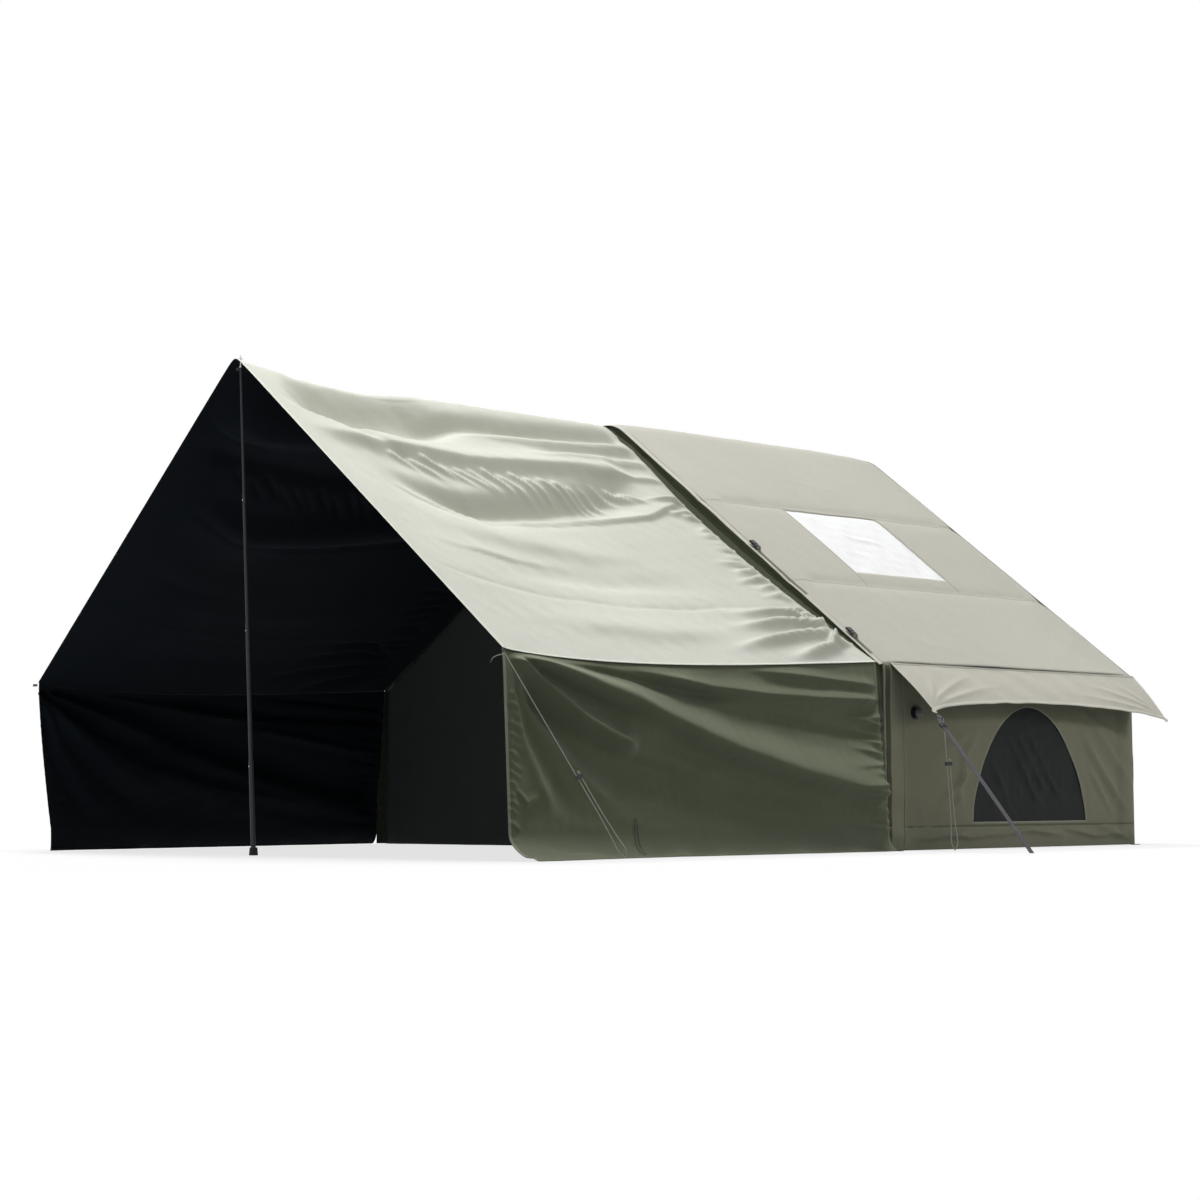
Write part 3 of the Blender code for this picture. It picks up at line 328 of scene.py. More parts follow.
def points_at(x, y, z):
    """Points from their coordinates, which spread to one shape."""
    shape = np.broadcast(x, y, z).shape
    return np.stack([np.broadcast_to(part, shape) for part in (x, y, z)], axis=-1)


@contextmanager
def editing(mesh):
    """Opens a mesh for changes and writes it back."""
    shape = bmesh.new()
    shape.from_mesh(mesh)
    yield shape
    shape.to_mesh(mesh)
    shape.free()


def weld(shape, reach=1e-6):
    bmesh.ops.remove_doubles(shape, verts=list(shape.verts), dist=reach)


def face_out(shape):
    bmesh.ops.recalc_face_normals(shape, faces=list(shape.faces))


def grid_mesh(name, points, uv=None, keep=None, flip=False, materials=()):
    """A mesh through a grid of points, with its UV map in metres."""
    rows, columns = points.shape[:2]
    index = np.arange(rows * columns).reshape(rows, columns)
    corners = (index[:-1, :-1], index[1:, :-1], index[1:, 1:], index[:-1, 1:])
    quads = np.stack(corners, axis=2).reshape(-1, 4)
    if keep is not None:
        quads = quads[keep.reshape(-1)]
    if flip:
        quads = quads[:, ::-1]
    if uv is None:
        uv = np.stack([travelled(points), travelled(points, 1)], axis=2)
    used = np.unique(quads)
    renumber = np.zeros(rows * columns, int)
    renumber[used] = np.arange(len(used))
    mesh = bpy.data.meshes.new(name)
    mesh.from_pydata(points.reshape(-1, 3)[used].tolist(), [], renumber[quads].tolist())
    corner_uv = uv.reshape(-1, 2)[quads.reshape(-1)].astype(np.float32)
    mesh.uv_layers.new(name="UVMap").data.foreach_set("uv", corner_uv.reshape(-1))
    mesh.shade_smooth()
    for material in materials:
        mesh.materials.append(finish(material))
    return mesh


def add_piece(name, mesh, body="tent", replaces=()):
    """Puts a mesh in the scene as a piece that rides on a body."""
    return settle(add_object(name, mesh), body, replaces)


def add_object(name, data):
    thing = bpy.data.objects.new(name, data)
    bpy.context.scene.collection.objects.link(thing)
    return thing


def settle(thing, body="tent", replaces=()):
    """Says what body a finished piece rides on, and hides the parts it stands for."""
    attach(thing, body)
    if replaces:
        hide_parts(*replaces)
    return thing


def thicken(thing, thickness=CLOTH, inside=1):
    """Gives a sheet its thickness on the inner side, which takes the second material."""
    solid = thing.modifiers.new("Thickness", "SOLIDIFY")
    solid.thickness = thickness
    solid.offset = -1.0
    solid.material_offset = inside
    solid.material_offset_rim = 0
    return thing


def declare_sheet(points):
    """Works out the cut size of a sheet from its own grid of points, and keeps nothing of it."""
    across, along = (float(travelled(points, way).take(-1, axis=way).mean()) for way in (1, 0))


def cloth_piece(name, points, materials, slot, replaces=(), body="tent", **grid):
    """A sheet with thickness, from a grid of points and its outer and inner materials."""
    mesh = grid_mesh(name, points, materials=materials, **grid)
    return thicken(add_piece(name, mesh, body, replaces), inside=len(materials) - 1)


UPWARD = (0.0, 0.0, 1.0)


def unit(vectors):
    return vectors / np.maximum(np.linalg.norm(vectors, axis=-1), 1e-9)[..., None]


def tangents(path):
    """Unit direction of a path at each of its points."""
    return unit(np.gradient(path, axis=0))


def square_to(vectors, along):
    """Unit vectors square to a path's directions, as near as they can be to the given ones."""
    return unit(vectors - (vectors * along).sum(axis=1)[:, None] * along)


def swept(name, path, side, up, profile, material, inner=None, inner_from=0):
    """A profile of (side, up) pairs carried along a path, with its ends filled.

    The UV map holds metres along the path and the profile's own side value. Faces from the
    profile's inner_from edge on take the inner material.
    """
    count, ring = len(path), len(profile)
    shape = np.array(profile, float)
    points = path[:, None] + shape[:, :1] * side[:, None] + shape[:, 1:] * up[:, None]
    faces = [
        ((i, k), (i + 1, k), (i + 1, (k + 1) % ring), (i, (k + 1) % ring))
        for i in range(count - 1) for k in range(ring)
    ]
    faces.append([(0, k) for k in range(ring)])
    faces.append([(count - 1, k) for k in reversed(range(ring))])
    ways = travelled(path)
    uvs = [(ways[i], shape[k, 0]) for face in faces for i, k in face]
    mesh = bpy.data.meshes.new(name)
    mesh.from_pydata(
        points.reshape(-1, 3).tolist(), [], [[i * ring + k for i, k in face] for face in faces]
    )
    layer = mesh.uv_layers.new(name="UVMap")
    layer.data.foreach_set("uv", np.array(uvs, np.float32).reshape(-1))
    if inner:
        for place, face in enumerate(mesh.polygons):
            face.material_index = int(place % ring >= inner_from)
    with editing(mesh) as tidy:
        face_out(tidy)
    for each in (material, inner):
        if each:
            mesh.materials.append(finish(each))
    mesh.shade_smooth()
    mesh.set_sharp_from_angle(angle=math.radians(50))
    return mesh


def round_profile(radius, sides=10):
    turn = [2 * math.pi * k / sides for k in range(sides)]
    return [(radius * math.cos(angle), radius * math.sin(angle)) for angle in turn]


def flat_profile(width, height):
    half, rise = width / 2, height / 2
    return [(-half, -rise), (-half, rise), (half, rise), (half, -rise)]


def binding_profile(width, thick=HEM_THICK, cloth=CLOTH):
    """Folded tape round an edge: side runs into the cloth, up away from its outer face."""
    low = -cloth - thick
    return [
        (-thick, -cloth / 2), (-thick * 0.7, thick * 0.6), (0.0, thick),
        (width - thick, thick), (width, thick * 0.2), (width, low + thick * 0.8),
        (width - thick, low), (0.0, low), (-thick * 0.7, low + thick * 0.4),
    ]


def tape_profile(width, thick=0.0009):
    """Flat tape that lies on a cloth."""
    half = width / 2
    return [
        (-half, -0.0004), (-half, thick * 0.4), (-half + 0.0012, thick), (half - 0.0012, thick),
        (half, thick * 0.4), (half, -0.0004),
    ]


def trim(name, line, beside, material, width, slot, outward=UPWARD, lift=None, body="tent",
         lining=None):
    """A folded hem on an edge of a sheet or, where it has a lift, a flat tape on one of its lines.

    Beside is the sheet's next line of points.
    """
    side, along = unit(beside - line), tangents(line)
    up = unit(np.cross(along, side))
    up = up * np.where((up * np.array(outward, float)).sum(axis=1) < 0, -1.0, 1.0)[:, None]
    profile = binding_profile(width or sizes().hem) if lift is None else tape_profile(width)
    line = line + up * (lift or 0.0)
    mesh = swept(name, line, square_to(side, along), up, profile, material, lining, 4)
    return add_piece(name, mesh, body)


def free_frame(path, guide):
    """Two directions square to a path, the first as near as it can be to guide."""
    along = tangents(path)
    side = square_to(np.broadcast_to(np.array(guide, float), path.shape), along)
    return side, np.cross(along, side)


def smooth_path(points, count):
    """Evenly spaced points along a smooth curve through the given ones."""
    points = [np.array(tuple(point), float) for point in points]
    padded = [points[0] * 2 - points[1]] + points + [points[-1] * 2 - points[-2]]
    dense = [
        0.5 * ((2 * b) + (c - a) * t + (2 * a - 5 * b + 4 * c - d) * t ** 2
               + (3 * b - a - 3 * c + d) * t ** 3)
        for a, b, c, d in zip(padded, padded[1:], padded[2:], padded[3:])
        for t in (k / 24 for k in range(24))
    ]
    dense = np.array(dense + [points[-1]])
    ways = travelled(dense)
    goals = np.linspace(0, ways[-1], count)
    return np.stack([np.interp(goals, ways, dense[:, k]) for k in range(3)], axis=1)


def from_front(point):
    return Vector((point[0], point[1] + Y_FRONT, point[2]))


# Materials


class Nodes:
    """Short ways to add and join the nodes of a tree."""

    def __init__(self, tree):
        self.tree = tree

    def feed(self, target, value):
        if hasattr(value, "is_output"):
            self.tree.links.new(value, target)
        else:
            target.default_value = value

    def node(self, kind, inputs=None, **settings):
        """Adds a node with its settings, and joins or sets its inputs."""
        made = self.tree.nodes.new(kind)
        for name, value in settings.items():
            setattr(made, name, value)
        for socket, value in (inputs or {}).items():
            self.feed(made.inputs[socket], value)
        return made

    def math(self, operation, *values):
        return self.node(
            "ShaderNodeMath", dict(enumerate(values)), operation=operation
        ).outputs[0]

    def seen(self):
        """1 for camera rays, from glossy surfaces and through clear ones, and 0 for light."""
        rays = self.node("ShaderNodeLightPath").outputs
        found = rays["Is Camera Ray"]
        for name in ("Is Glossy Ray", "Is Transmission Ray"):
            found = self.math("MAXIMUM", found, rays[name])
        return found

    def choose(self, factor, first, second):
        """Shader that goes from the first to the second."""
        return self.node("ShaderNodeMixShader", {0: factor, 1: first, 2: second}).outputs[0]


class Finish(Nodes):
    """A material under construction, over the cloth's own UV or the object's space."""

    def __init__(self, name, base, roughness, metallic=0.0, **values):
        self.material = bpy.data.materials.new(name)
        self.material.use_nodes = True
        super().__init__(self.material.node_tree)
        self.shader = self.tree.nodes["Principled BSDF"]
        for socket, value in {"Roughness": roughness, "Metallic": metallic, **values}.items():
            self.shader.inputs[socket.replace("_", " ")].default_value = value
        places = self.node("ShaderNodeTexCoord").outputs
        self.base, self.uv, self.room = base, places["UV"], places["Object"]
        self.heights = []

    def tint(self, factor=1.0):
        return (*[min(c * factor, 1.0) for c in self.base], 1.0)

    def scaled(self, vector, scale, turn=0.0):
        inputs = {"Vector": vector, "Scale": scale, "Rotation": (0.0, 0.0, turn)}
        return self.node("ShaderNodeMapping", inputs).outputs[0]

    def noise(self, vector, scale, detail=2.0, roughness=0.5):
        inputs = {"Vector": vector, "Scale": scale, "Detail": detail, "Roughness": roughness}
        return self.node("ShaderNodeTexNoise", inputs).outputs["Fac"]

    def window(self, factor, low, high, to_low=0.0, to_high=1.0):
        """Maps low..high of a factor to to_low..to_high, and holds it outside."""
        inputs = {"Value": factor, "From Min": low, "From Max": high,
                  "To Min": to_low, "To Max": to_high}
        return self.node("ShaderNodeMapRange", inputs).outputs[0]

    def mix(self, factor, first, second, kind="MIX"):
        inputs = {0: factor, 6: first, 7: second}
        return self.node(
            "ShaderNodeMix", inputs, data_type="RGBA", blend_type=kind
        ).outputs[2]

    def shades(self, factor, dark, light):
        """Goes from a darker to a lighter tone of the base colour."""
        return self.mix(factor, self.tint(dark), self.tint(light))

    def relief(self, height, distance):
        """Adds a height to the bump, in metres."""
        self.heights.append((height, distance))
        return height

    def split(self, vector):
        return self.node("ShaderNodeSeparateXYZ", {0: vector}).outputs

    def wave(self, value, spacing):
        turn = self.math("MULTIPLY", value, 2 * math.pi / spacing)
        return self.math("SINE", turn)

    def weave(self, along_spacing, across_spacing, distance):
        """Crossed threads, as a relief."""
        along, across, _ = self.split(self.uv)
        threads = self.wave(along, along_spacing), self.wave(across, across_spacing)
        self.relief(self.math("MULTIPLY", *threads), distance)

    def stitches(self, rows, tone, thread, raised=0.0):
        """Rows of straight stitches at these distances across, over a tone."""
        along, across, _ = self.split(self.uv)
        dash = self.math("FRACT", self.math("DIVIDE", along, sizes().stitch))
        dash = self.math("LESS_THAN", dash, 0.68)
        near = None
        for row in rows:
            gap = self.math("ABSOLUTE", self.math("SUBTRACT", across, row))
            on_row = self.math("LESS_THAN", gap, 0.0006)
            near = on_row if near is None else self.math("MAXIMUM", near, on_row)
        mask = self.math("MULTIPLY", dash, near)
        if raised:
            self.relief(mask, raised)
        return self.mix(mask, tone, self.tint(thread))

    def done(self, tone, roughness=None):
        """Joins colour, roughness and bumps to the shader."""
        self.feed(self.shader.inputs["Base Color"], tone)
        if roughness is not None:
            self.feed(self.shader.inputs["Roughness"], roughness)
        under = {}
        for height, distance in self.heights:
            inputs = {"Distance": distance, "Strength": 1.0, "Height": height, **under}
            under = {"Normal": self.node("ShaderNodeBump", inputs).outputs[0]}
        if under:
            self.feed(self.shader.inputs["Normal"], under["Normal"])
        return self.material


def canvas(name, base, roughness=0.8, dust=0.0, stitches=(), sheen=0.15, rear_shade=0.0, folded=0.0):
    """Woven canvas: threads, slubs, cloudy dye, soft creases, dust near the ground, stitches.

    The part of the porch near the main tent gets painted shade, darker towards its rear edge,
    and so do the steep sides of its folds, which a sheet's own "steep" attribute marks.
    """
    made = Finish(name, base, roughness, Sheen_Weight=sheen, Sheen_Roughness=0.5,
                  Specular_IOR_Level=0.25)
    made.weave(sizes().thread, sizes().thread, 0.0001)
    slubs = made.math("ADD", *(
        made.noise(made.scaled(made.uv, scale), 1.0) for scale in ((30, 900, 1), (900, 30, 1))
    ))
    made.relief(slubs, 0.00012)
    made.relief(made.noise(made.room, 9.0, 4.0, 0.55), 0.0035)
    clouds = made.noise(made.room, 1.3, 3.0)
    tone = made.shades(clouds, 0.9, 1.08)
    speck = made.window(slubs, 0.75, 1.25, 0.93, 1.07)
    shade = made.node("ShaderNodeCombineColor", {0: speck, 1: speck, 2: speck})
    tone = made.mix(1.0, tone, shade.outputs[0], "MULTIPLY")
    # Painted shade: the steep sides of folds take a darker, more olive tone, by the folded share.
    if folded:
        steep = made.node("ShaderNodeAttribute", attribute_name="steep").outputs["Fac"]
        shaded = (*[c * part for c, part in zip(base, (0.46, 0.48, 0.41))], 1.0)
        tone = made.mix(made.math("MULTIPLY", steep, folded), tone, shaded)
    # Painted shade of the gathers near the main tent: darker towards the canopy's rear edge.
    if rear_shade:
        worn = made.window(made.split(made.room)[1], -0.95, -0.1, 0.0, rear_shade)
        tone = made.mix(worn, tone, made.tint(0.5))
    if dust:
        low = made.window(made.split(made.room)[2], 0.0, 0.16, 1.0, 0.0)
        patches = made.window(made.noise(made.room, 6.0, 4.0), 0.0, 1.0, 0.2, 1.2)
        low = made.math("MULTIPLY", made.math("MULTIPLY", low, patches), dust)
        tone = made.mix(low, tone, (*[c * 0.6 + 0.12 for c in base], 1.0))
    if stitches:
        tone = made.stitches(stitches, tone, 0.62, 0.0003)
    return made.done(tone, made.window(clouds, 0.0, 1.0, roughness - 0.06, roughness + 0.06))


def coated(name, base, roughness=0.55):
    """Coated side of the cloth: faint weave under a smooth film, with scuffs."""
    made = Finish(name, base, roughness, Specular_IOR_Level=0.12)
    made.weave(2 * sizes().thread, 2 * sizes().thread, 0.00004)
    made.relief(made.noise(made.room, 7.0, 4.0, 0.6), 0.004)
    clouds = made.noise(made.room, 2.0, 4.0, 0.6)
    rough = made.window(clouds, 0.0, 1.0, roughness - 0.08, roughness + 0.1)
    return made.done(made.shades(clouds, 0.7, 1.4), rough)


def screen_net(name, base):
    """Fine window net: light threads over dark holes."""
    made = Finish(name, base, 0.7, Specular_IOR_Level=0.2)
    along, across, _ = made.split(made.uv)
    holes = made.math("MULTIPLY", *(
        made.math("ABSOLUTE", made.wave(way, 2 * sizes().net)) for way in (along, across)
    ))
    thread = made.shades(made.noise(made.room, 3.0, 3.0), 1.3, 2.2)
    made.relief(made.window(holes, 0.2, 0.7, 1.0, 0.0), 0.0002)
    made.relief(made.noise(made.room, 8.0, 3.0), 0.003)
    return made.done(made.mix(made.window(holes, 0.25, 0.6), thread, made.tint(0.35)))


def clear_film(name, base):
    """Milky film with fine wrinkles."""
    made = Finish(name, base, 0.3, Specular_IOR_Level=0.45, Coat_Weight=0.15, Coat_Roughness=0.12)
    wrinkles = made.noise(made.scaled(made.room, (5.0, 16.0, 5.0), 0.5), 1.0, 4.0, 0.65)
    made.relief(wrinkles, 0.006)
    fine = made.relief(made.noise(made.room, 60.0, 3.0, 0.6), 0.0008)
    tone = made.shades(made.noise(made.room, 5.0, 4.0, 0.6), 0.93, 1.04)
    return made.done(tone, made.window(fine, 0.0, 1.0, 0.22, 0.4))


def welded_film(name, base):
    """Welded film of the air tubes."""
    made = Finish(name, base, 0.38, Specular_IOR_Level=0.4)
    made.relief(made.noise(made.room, 14.0, 3.0, 0.6), 0.003)
    clouds = made.noise(made.room, 4.0, 3.0)
    return made.done(made.shades(clouds, 0.88, 1.1), made.window(clouds, 0.0, 1.0, 0.3, 0.46))


def webbing(name, base, rib=0.0018):
    """Woven tape with ribs across it and a herringbone of threads."""
    made = Finish(name, base, 0.78, Sheen_Weight=0.2, Specular_IOR_Level=0.3)
    made.weave(rib, rib * 1.4, 0.00022)
    slubs = made.noise(made.scaled(made.uv, (60.0, 500.0, 1.0)), 1.0, 3.0)
    return made.done(made.stitches((-0.0095, 0.0095), made.shades(slubs, 0.75, 1.3), 2.0))


def braid(name, base, diameter):
    """Braided cord: two sets of strands that cross."""
    made = Finish(name, base, 0.75, Sheen_Weight=0.15, Specular_IOR_Level=0.3)
    along, across, _ = made.split(made.uv)
    turn = made.math("MULTIPLY", along, 2 * math.pi / (diameter * 1.1))
    lay = made.math("MULTIPLY", across, 2 * math.pi / (diameter * 0.55))
    leans = (made.math("SINE", made.math(way, turn, lay)) for way in ("ADD", "SUBTRACT"))
    strands = made.relief(made.math("MULTIPLY", *leans), 0.0002)
    return made.done(made.shades(made.window(strands, -1.0, 1.0), 0.55, 1.25))


def moulded(name, base, roughness=0.42):
    """Moulded plastic with a fine spark-eroded grain and worn, paler spots."""
    made = Finish(name, base, roughness)
    grain = made.relief(made.noise(made.room, 900.0, 2.0, 0.6), 0.00008)
    wear = made.window(made.noise(made.room, 40.0, 4.0, 0.6), 0.55, 0.8)
    rough = made.window(grain, 0.0, 1.0, roughness - 0.08, roughness + 0.12)
    return made.done(made.shades(wear, 1.0, 2.2), rough)


def rubbery(name, base):
    """Matt rubber with dust in its pores."""
    made = Finish(name, base, 0.85)
    grain = made.relief(made.noise(made.room, 500.0, 3.0, 0.7), 0.00015)
    dust = made.window(made.split(made.room)[2], 0.0, 0.03, 0.5, 0.05)
    dust = made.math("MULTIPLY", dust, grain)
    return made.done(made.mix(dust, made.tint(), (0.16, 0.15, 0.13, 1.0)))


def coated_tube(name, base, roughness=0.42):
    """Powder-coated steel: fine orange peel, paler rubbed spots and long scuffs."""
    made = Finish(name, base, roughness, Specular_IOR_Level=0.35)
    made.relief(made.noise(made.room, 700.0), 0.00005)
    scuffs = made.noise(made.scaled(made.room, (160.0, 160.0, 4.0)), 1.0, 4.0, 0.6)
    tone = made.shades(made.window(scuffs, 0.58, 0.72, 0.0, 0.6), 1.0, 2.6)
    return made.done(tone, made.window(scuffs, 0.0, 1.0, roughness - 0.1, roughness + 0.14))


def drawn_metal(name, base, roughness=0.24, lines=(90.0, 90.0, 90.0)):
    """Drawn metal with fine lines, light scuffs and duller patches."""
    made = Finish(name, base, roughness, 1.0)
    streaks = made.relief(made.noise(made.scaled(made.room, lines), 1.0, 3.0, 0.6), 0.00006)
    dull = made.noise(made.room, 22.0, 4.0, 0.6)
    tone = made.shades(streaks, 0.82, 1.15)
    tone = made.mix(made.window(dull, 0.55, 0.75, 0.0, 0.5), tone, made.tint(0.55))
    return made.done(tone, made.window(dull, 0.0, 1.0, roughness - 0.08, roughness + 0.16))


FINISHES = {}


def finish(name):
    """Material by name, made once: its maker, its colour, how light, and the maker's values."""
    if name in FINISHES:
        return FINISHES[name]
    hem, seam = (sizes().hem - 0.004,), (-0.004, 0.004)
    maker, tint, factor, values = {
        # The porch canvas gets painted shade towards its rear edge and on the steep sides of its
        # folds.
        "porch_canvas": (canvas, "porch_roof", 1, dict(roughness=0.78, rear_shade=0.22, folded=0.64)),
        "roof_canvas": (canvas, "main_roof", 1, {}),
        "awning_canvas": (canvas, "awning", 1, {}),
        "porch_wall_canvas": (canvas, "porch_wall", 1, dict(roughness=0.74, dust=0.35, sheen=0.25)),
        "wall_canvas": (canvas, "wall", 1, dict(dust=0.25)),
        "inner_canvas": (canvas, "inner", 1, dict(roughness=0.85, sheen=0.05)),
        "lining": (coated, "lining", 1, dict(roughness=0.8)),
        "room_lining": (coated, "floor_sheet", 1, dict(roughness=0.6)),
        "floor_coat": (coated, "floor_sheet", 1, dict(roughness=0.45)),
        "porch_hem": (canvas, "porch_roof", 1.18, dict(roughness=0.75, stitches=hem)),
        "roof_hem": (canvas, "main_roof", 1.15, dict(roughness=0.75, stitches=hem)),
        "wall_hem": (canvas, "porch_wall", 1.25, dict(roughness=0.78, stitches=hem)),
        "light_piping": (canvas, "piping", 1, dict(roughness=0.7, stitches=(0.008,))),
        "roof_seam": (canvas, "main_roof", 0.93, dict(stitches=seam)),
        "wall_seam": (canvas, "porch_wall", 0.9, dict(stitches=seam)),
        # Porch wall cloth darkened to 0.45 as painted shade, for the gusset and the dark strip on
        # the main walls' front edge.
        "gusset_cloth": (canvas, "porch_wall", 0.45, {}),
        "sleeve_cloth": (canvas, "sleeve", 1, dict(roughness=0.82)),
        "net": (screen_net, "screen", 1, {}),
        "skylight_film": (clear_film, "film", 1, {}),
        "tube_film": (welded_film, "air", 1, {}),
        "webbing": (webbing, "strap", 1, {}),
        "clip_webbing": (webbing, "porch_wall", 0.9, {}),
        "zip_tape": (webbing, "inner", 0.7, {}),
        "guy_braid": (braid, "cord", 1, dict(diameter=CORD_DIAMETER)),
        "tie_braid": (braid, "cord", 0.35, dict(diameter=TIE_DIAMETER)),
        "plastic": (moulded, "plastic", 1, {}),
        "steel": (coated_tube, "steel", 1, {}),
        "plated": (drawn_metal, "plated", 1, {}),
        "rubber": (rubbery, "rubber", 1, {}),
    }[name]
    base = tuple(min(c * factor, 1.0) for c in getattr(colours(), tint))
    FINISHES[name] = maker(name, base, **values)
    return FINISHES[name]


# Stage


def studio_finish(ground):
    """Pale floor that shows white, with the tent's shadow near the tent."""
    made = Finish("studio_floor", ground, 0.9, Specular_IOR_Level=0.0)
    pale = made.shades(made.noise(made.room, 3.0, 3.0), 0.985, 1.0)
    made.done(made.mix(made.seen(), made.tint(0.32), pale))
    white = made.node("ShaderNodeEmission").outputs[0]
    away = made.node("ShaderNodeVectorMath", {0: made.room}, operation="LENGTH")
    share = made.window(away.outputs["Value"], 2.6, 4.6, 0.75, 1.0)
    seen = made.math("MULTIPLY", made.seen(), share)
    surface = made.tree.nodes["Material Output"].inputs["Surface"]
    made.feed(surface, made.choose(seen, made.shader.outputs[0], white))
    return made.material


def even_light(scene, strength):
    scene.world = bpy.data.worlds.new("even_light")
    scene.world.use_nodes = True
    made = Nodes(scene.world.node_tree)
    made.tree.nodes.clear()
    light, white = (
        made.node("ShaderNodeBackground", {"Color": (1, 1, 1, 1), "Strength": power}).outputs[0]
        for power in (strength, 1.0)
    )
    made.node("ShaderNodeOutputWorld", {0: made.choose(made.seen(), light, white)})


def add_lamp(name, kind, place, target, power, **values):
    """Lamp at a place, turned to its target. The spot leaves the side wall's top in shade."""
    data = bpy.data.lights.new(name, kind)
    data.energy = power
    for key, value in values.items():
        setattr(data, key, value)
    thing = add_object(name, data)
    thing.location = place
    thing.rotation_euler = (Vector(target) - Vector(place)).to_track_quat("-Z", "Y").to_euler()


def add_camera(scene, settings):
    data = bpy.data.cameras.new("photo_camera")
    data.lens, data.sensor_width, data.clip_end = settings.lens, 36.0, 300.0
    scene.camera = add_object("photo_camera", data)
    turn = Matrix.Rotation(settings.heading, 4, "Z")
    turn = turn @ Matrix.Rotation(math.pi / 2 + settings.tilt, 4, "X")
    turn = turn @ Matrix.Rotation(settings.roll, 4, "Z")
    scene.camera.matrix_world = Matrix.Translation(Vector(settings.place)) @ turn


class TENT_OT_stage(bpy.types.Operator):
    """Add the studio floor, the even white light, the lamps and the camera"""

    bl_idname = "tent.stage"
    bl_label = "Stage"

    def execute(self, context):
        settings = context.scene.tent_stage
        bpy.ops.object.select_all(action="DESELECT")
        bpy.ops.mesh.primitive_grid_add(
            x_subdivisions=12, y_subdivisions=12, size=90.0, location=(0.0, 0.0, -0.001)
        )
        floor = context.object
        floor.name = "studio_floor"
        floor.data.materials.append(studio_finish(settings.ground))
        even_light(context.scene, settings.sky)
        middle = (0.0, 0.0, 0.9)
        for name, place, size, power in (
            ("key_lamp", (-5.0, 0.6, 12.0), 4.0, settings.key),
            ("side_lamp", (3.4, -1.5, 12.5), 4.0, settings.side),
            ("low_lamp", (9.5, 3.5, 2.6), 3.0, settings.fill),
        ):
            add_lamp(name, "AREA", place, middle, power, shape="DISK", size=size)
        add_lamp(
            "wall_lamp", "SPOT", (8.6, 5.0, 3.2), (1.8, 1.45, 0.32), settings.spot,
            shadow_soft_size=0.6, spot_size=math.radians(17), spot_blend=0.7,
        )
        add_camera(context.scene, settings)
        context.scene.view_settings.view_transform = "Standard"
        return {"FINISHED"}


# Lines

RUNNER_SIZE = ((0.034, 0.0098, 0.016), 0.003)
HITCH_TAIL = [
    (0.0, 0.0, 0.0), (-0.01, -0.012, -0.004), (-0.024, -0.024, -0.009), (-0.036, -0.032, -0.018),
    (-0.042, -0.036, -0.034),
]


def guy_route(top, foot, runner_at):
    """Down from the top to the ground, round the peg and back up to the runner."""
    along = (foot - top).normalized()
    step = (GUY_SIDE - along * GUY_SIDE.dot(along)).normalized()
    knot = top + (foot - top) * runner_at
    half_way = knot.lerp(foot - along * 0.2, 0.5)
    spread, narrow = step * LOOP_SPREAD, step * STRAND_SPACING
    route = [top, top.lerp(knot, 0.35), top.lerp(knot, 0.7), knot, half_way]
    for above, across, bulge in (
        (0.23, 0, 0), (0.2, 0, 0), (0.1, 0, -0.1), (0.035, 0, -0.2), (0.01, 0.05, 0), (0, 0.5, 0),
        (0.01, 0.95, 0), (0.035, 1, 0.2), (0.1, 1, 0.1), (0.2, 1, 0), (0.23, 1, 0),
    ):
        route.append(foot - along * above + narrow * across + spread * bulge)
    return route + [half_way + narrow, knot + along * 0.004 + narrow], along, step, knot


def cord_mesh(name, path, diameter, material, guide=(0.3, 0.2, 1.0)):
    return swept(name, path, *free_frame(path, guide), round_profile(diameter / 2), material)


def declare_cord(path):
    float(travelled(path)[-1])


def stopper_knot(name, centre, along, size, material):
    """Overhand knot: a cord wound three times round the line's own direction."""
    side = along.orthogonal().normalized()
    t = np.linspace(0.0, 1.0, 49)[:, None]
    radius = size * (0.75 + 0.25 * np.sin(np.pi * t))
    winding = np.array(along) * (t - 0.5) * size * 3.0
    winding = winding + np.array(side) * radius * np.cos(6 * np.pi * t)
    winding = winding + np.array(along.cross(side)) * radius * np.sin(6 * np.pi * t)
    return cord_mesh(name, winding + np.array(centre), size * 1.1, material, winding)


def hitch_tail(name, top, along):
    """Short free end that hangs off the hitch at the hem's corner."""
    path = smooth_path([top + along * 0.004 + Vector(offset) for offset in HITCH_TAIL], 40)
    return add_piece(name, cord_mesh(name, path, TIE_DIAMETER, "guy_braid"))


def line_runner(name, knot, along, step, body):
    """A flat three-hole slider, thinner at its waist."""
    size, waist = RUNNER_SIZE
    thing = bevelled_block(f"{name}_tensioner", size, 0.003, 4)
    for k in (-0.5, 0.5):
        drill(thing, (k * STRAND_SPACING, 0.0, 0.0), CORD_DIAMETER / 2 + 0.0008)
    drill(thing, (0.0, 0.0, 0.0), waist, (math.pi / 2, 0.0, 0.0))
    middle = knot + along * RUNNER_BELOW_KNOT + step * (STRAND_SPACING / 2)
    place = placed(middle, step, along.cross(step), along)
    return rigid_piece(thing, place, body, f"{name}_runner")


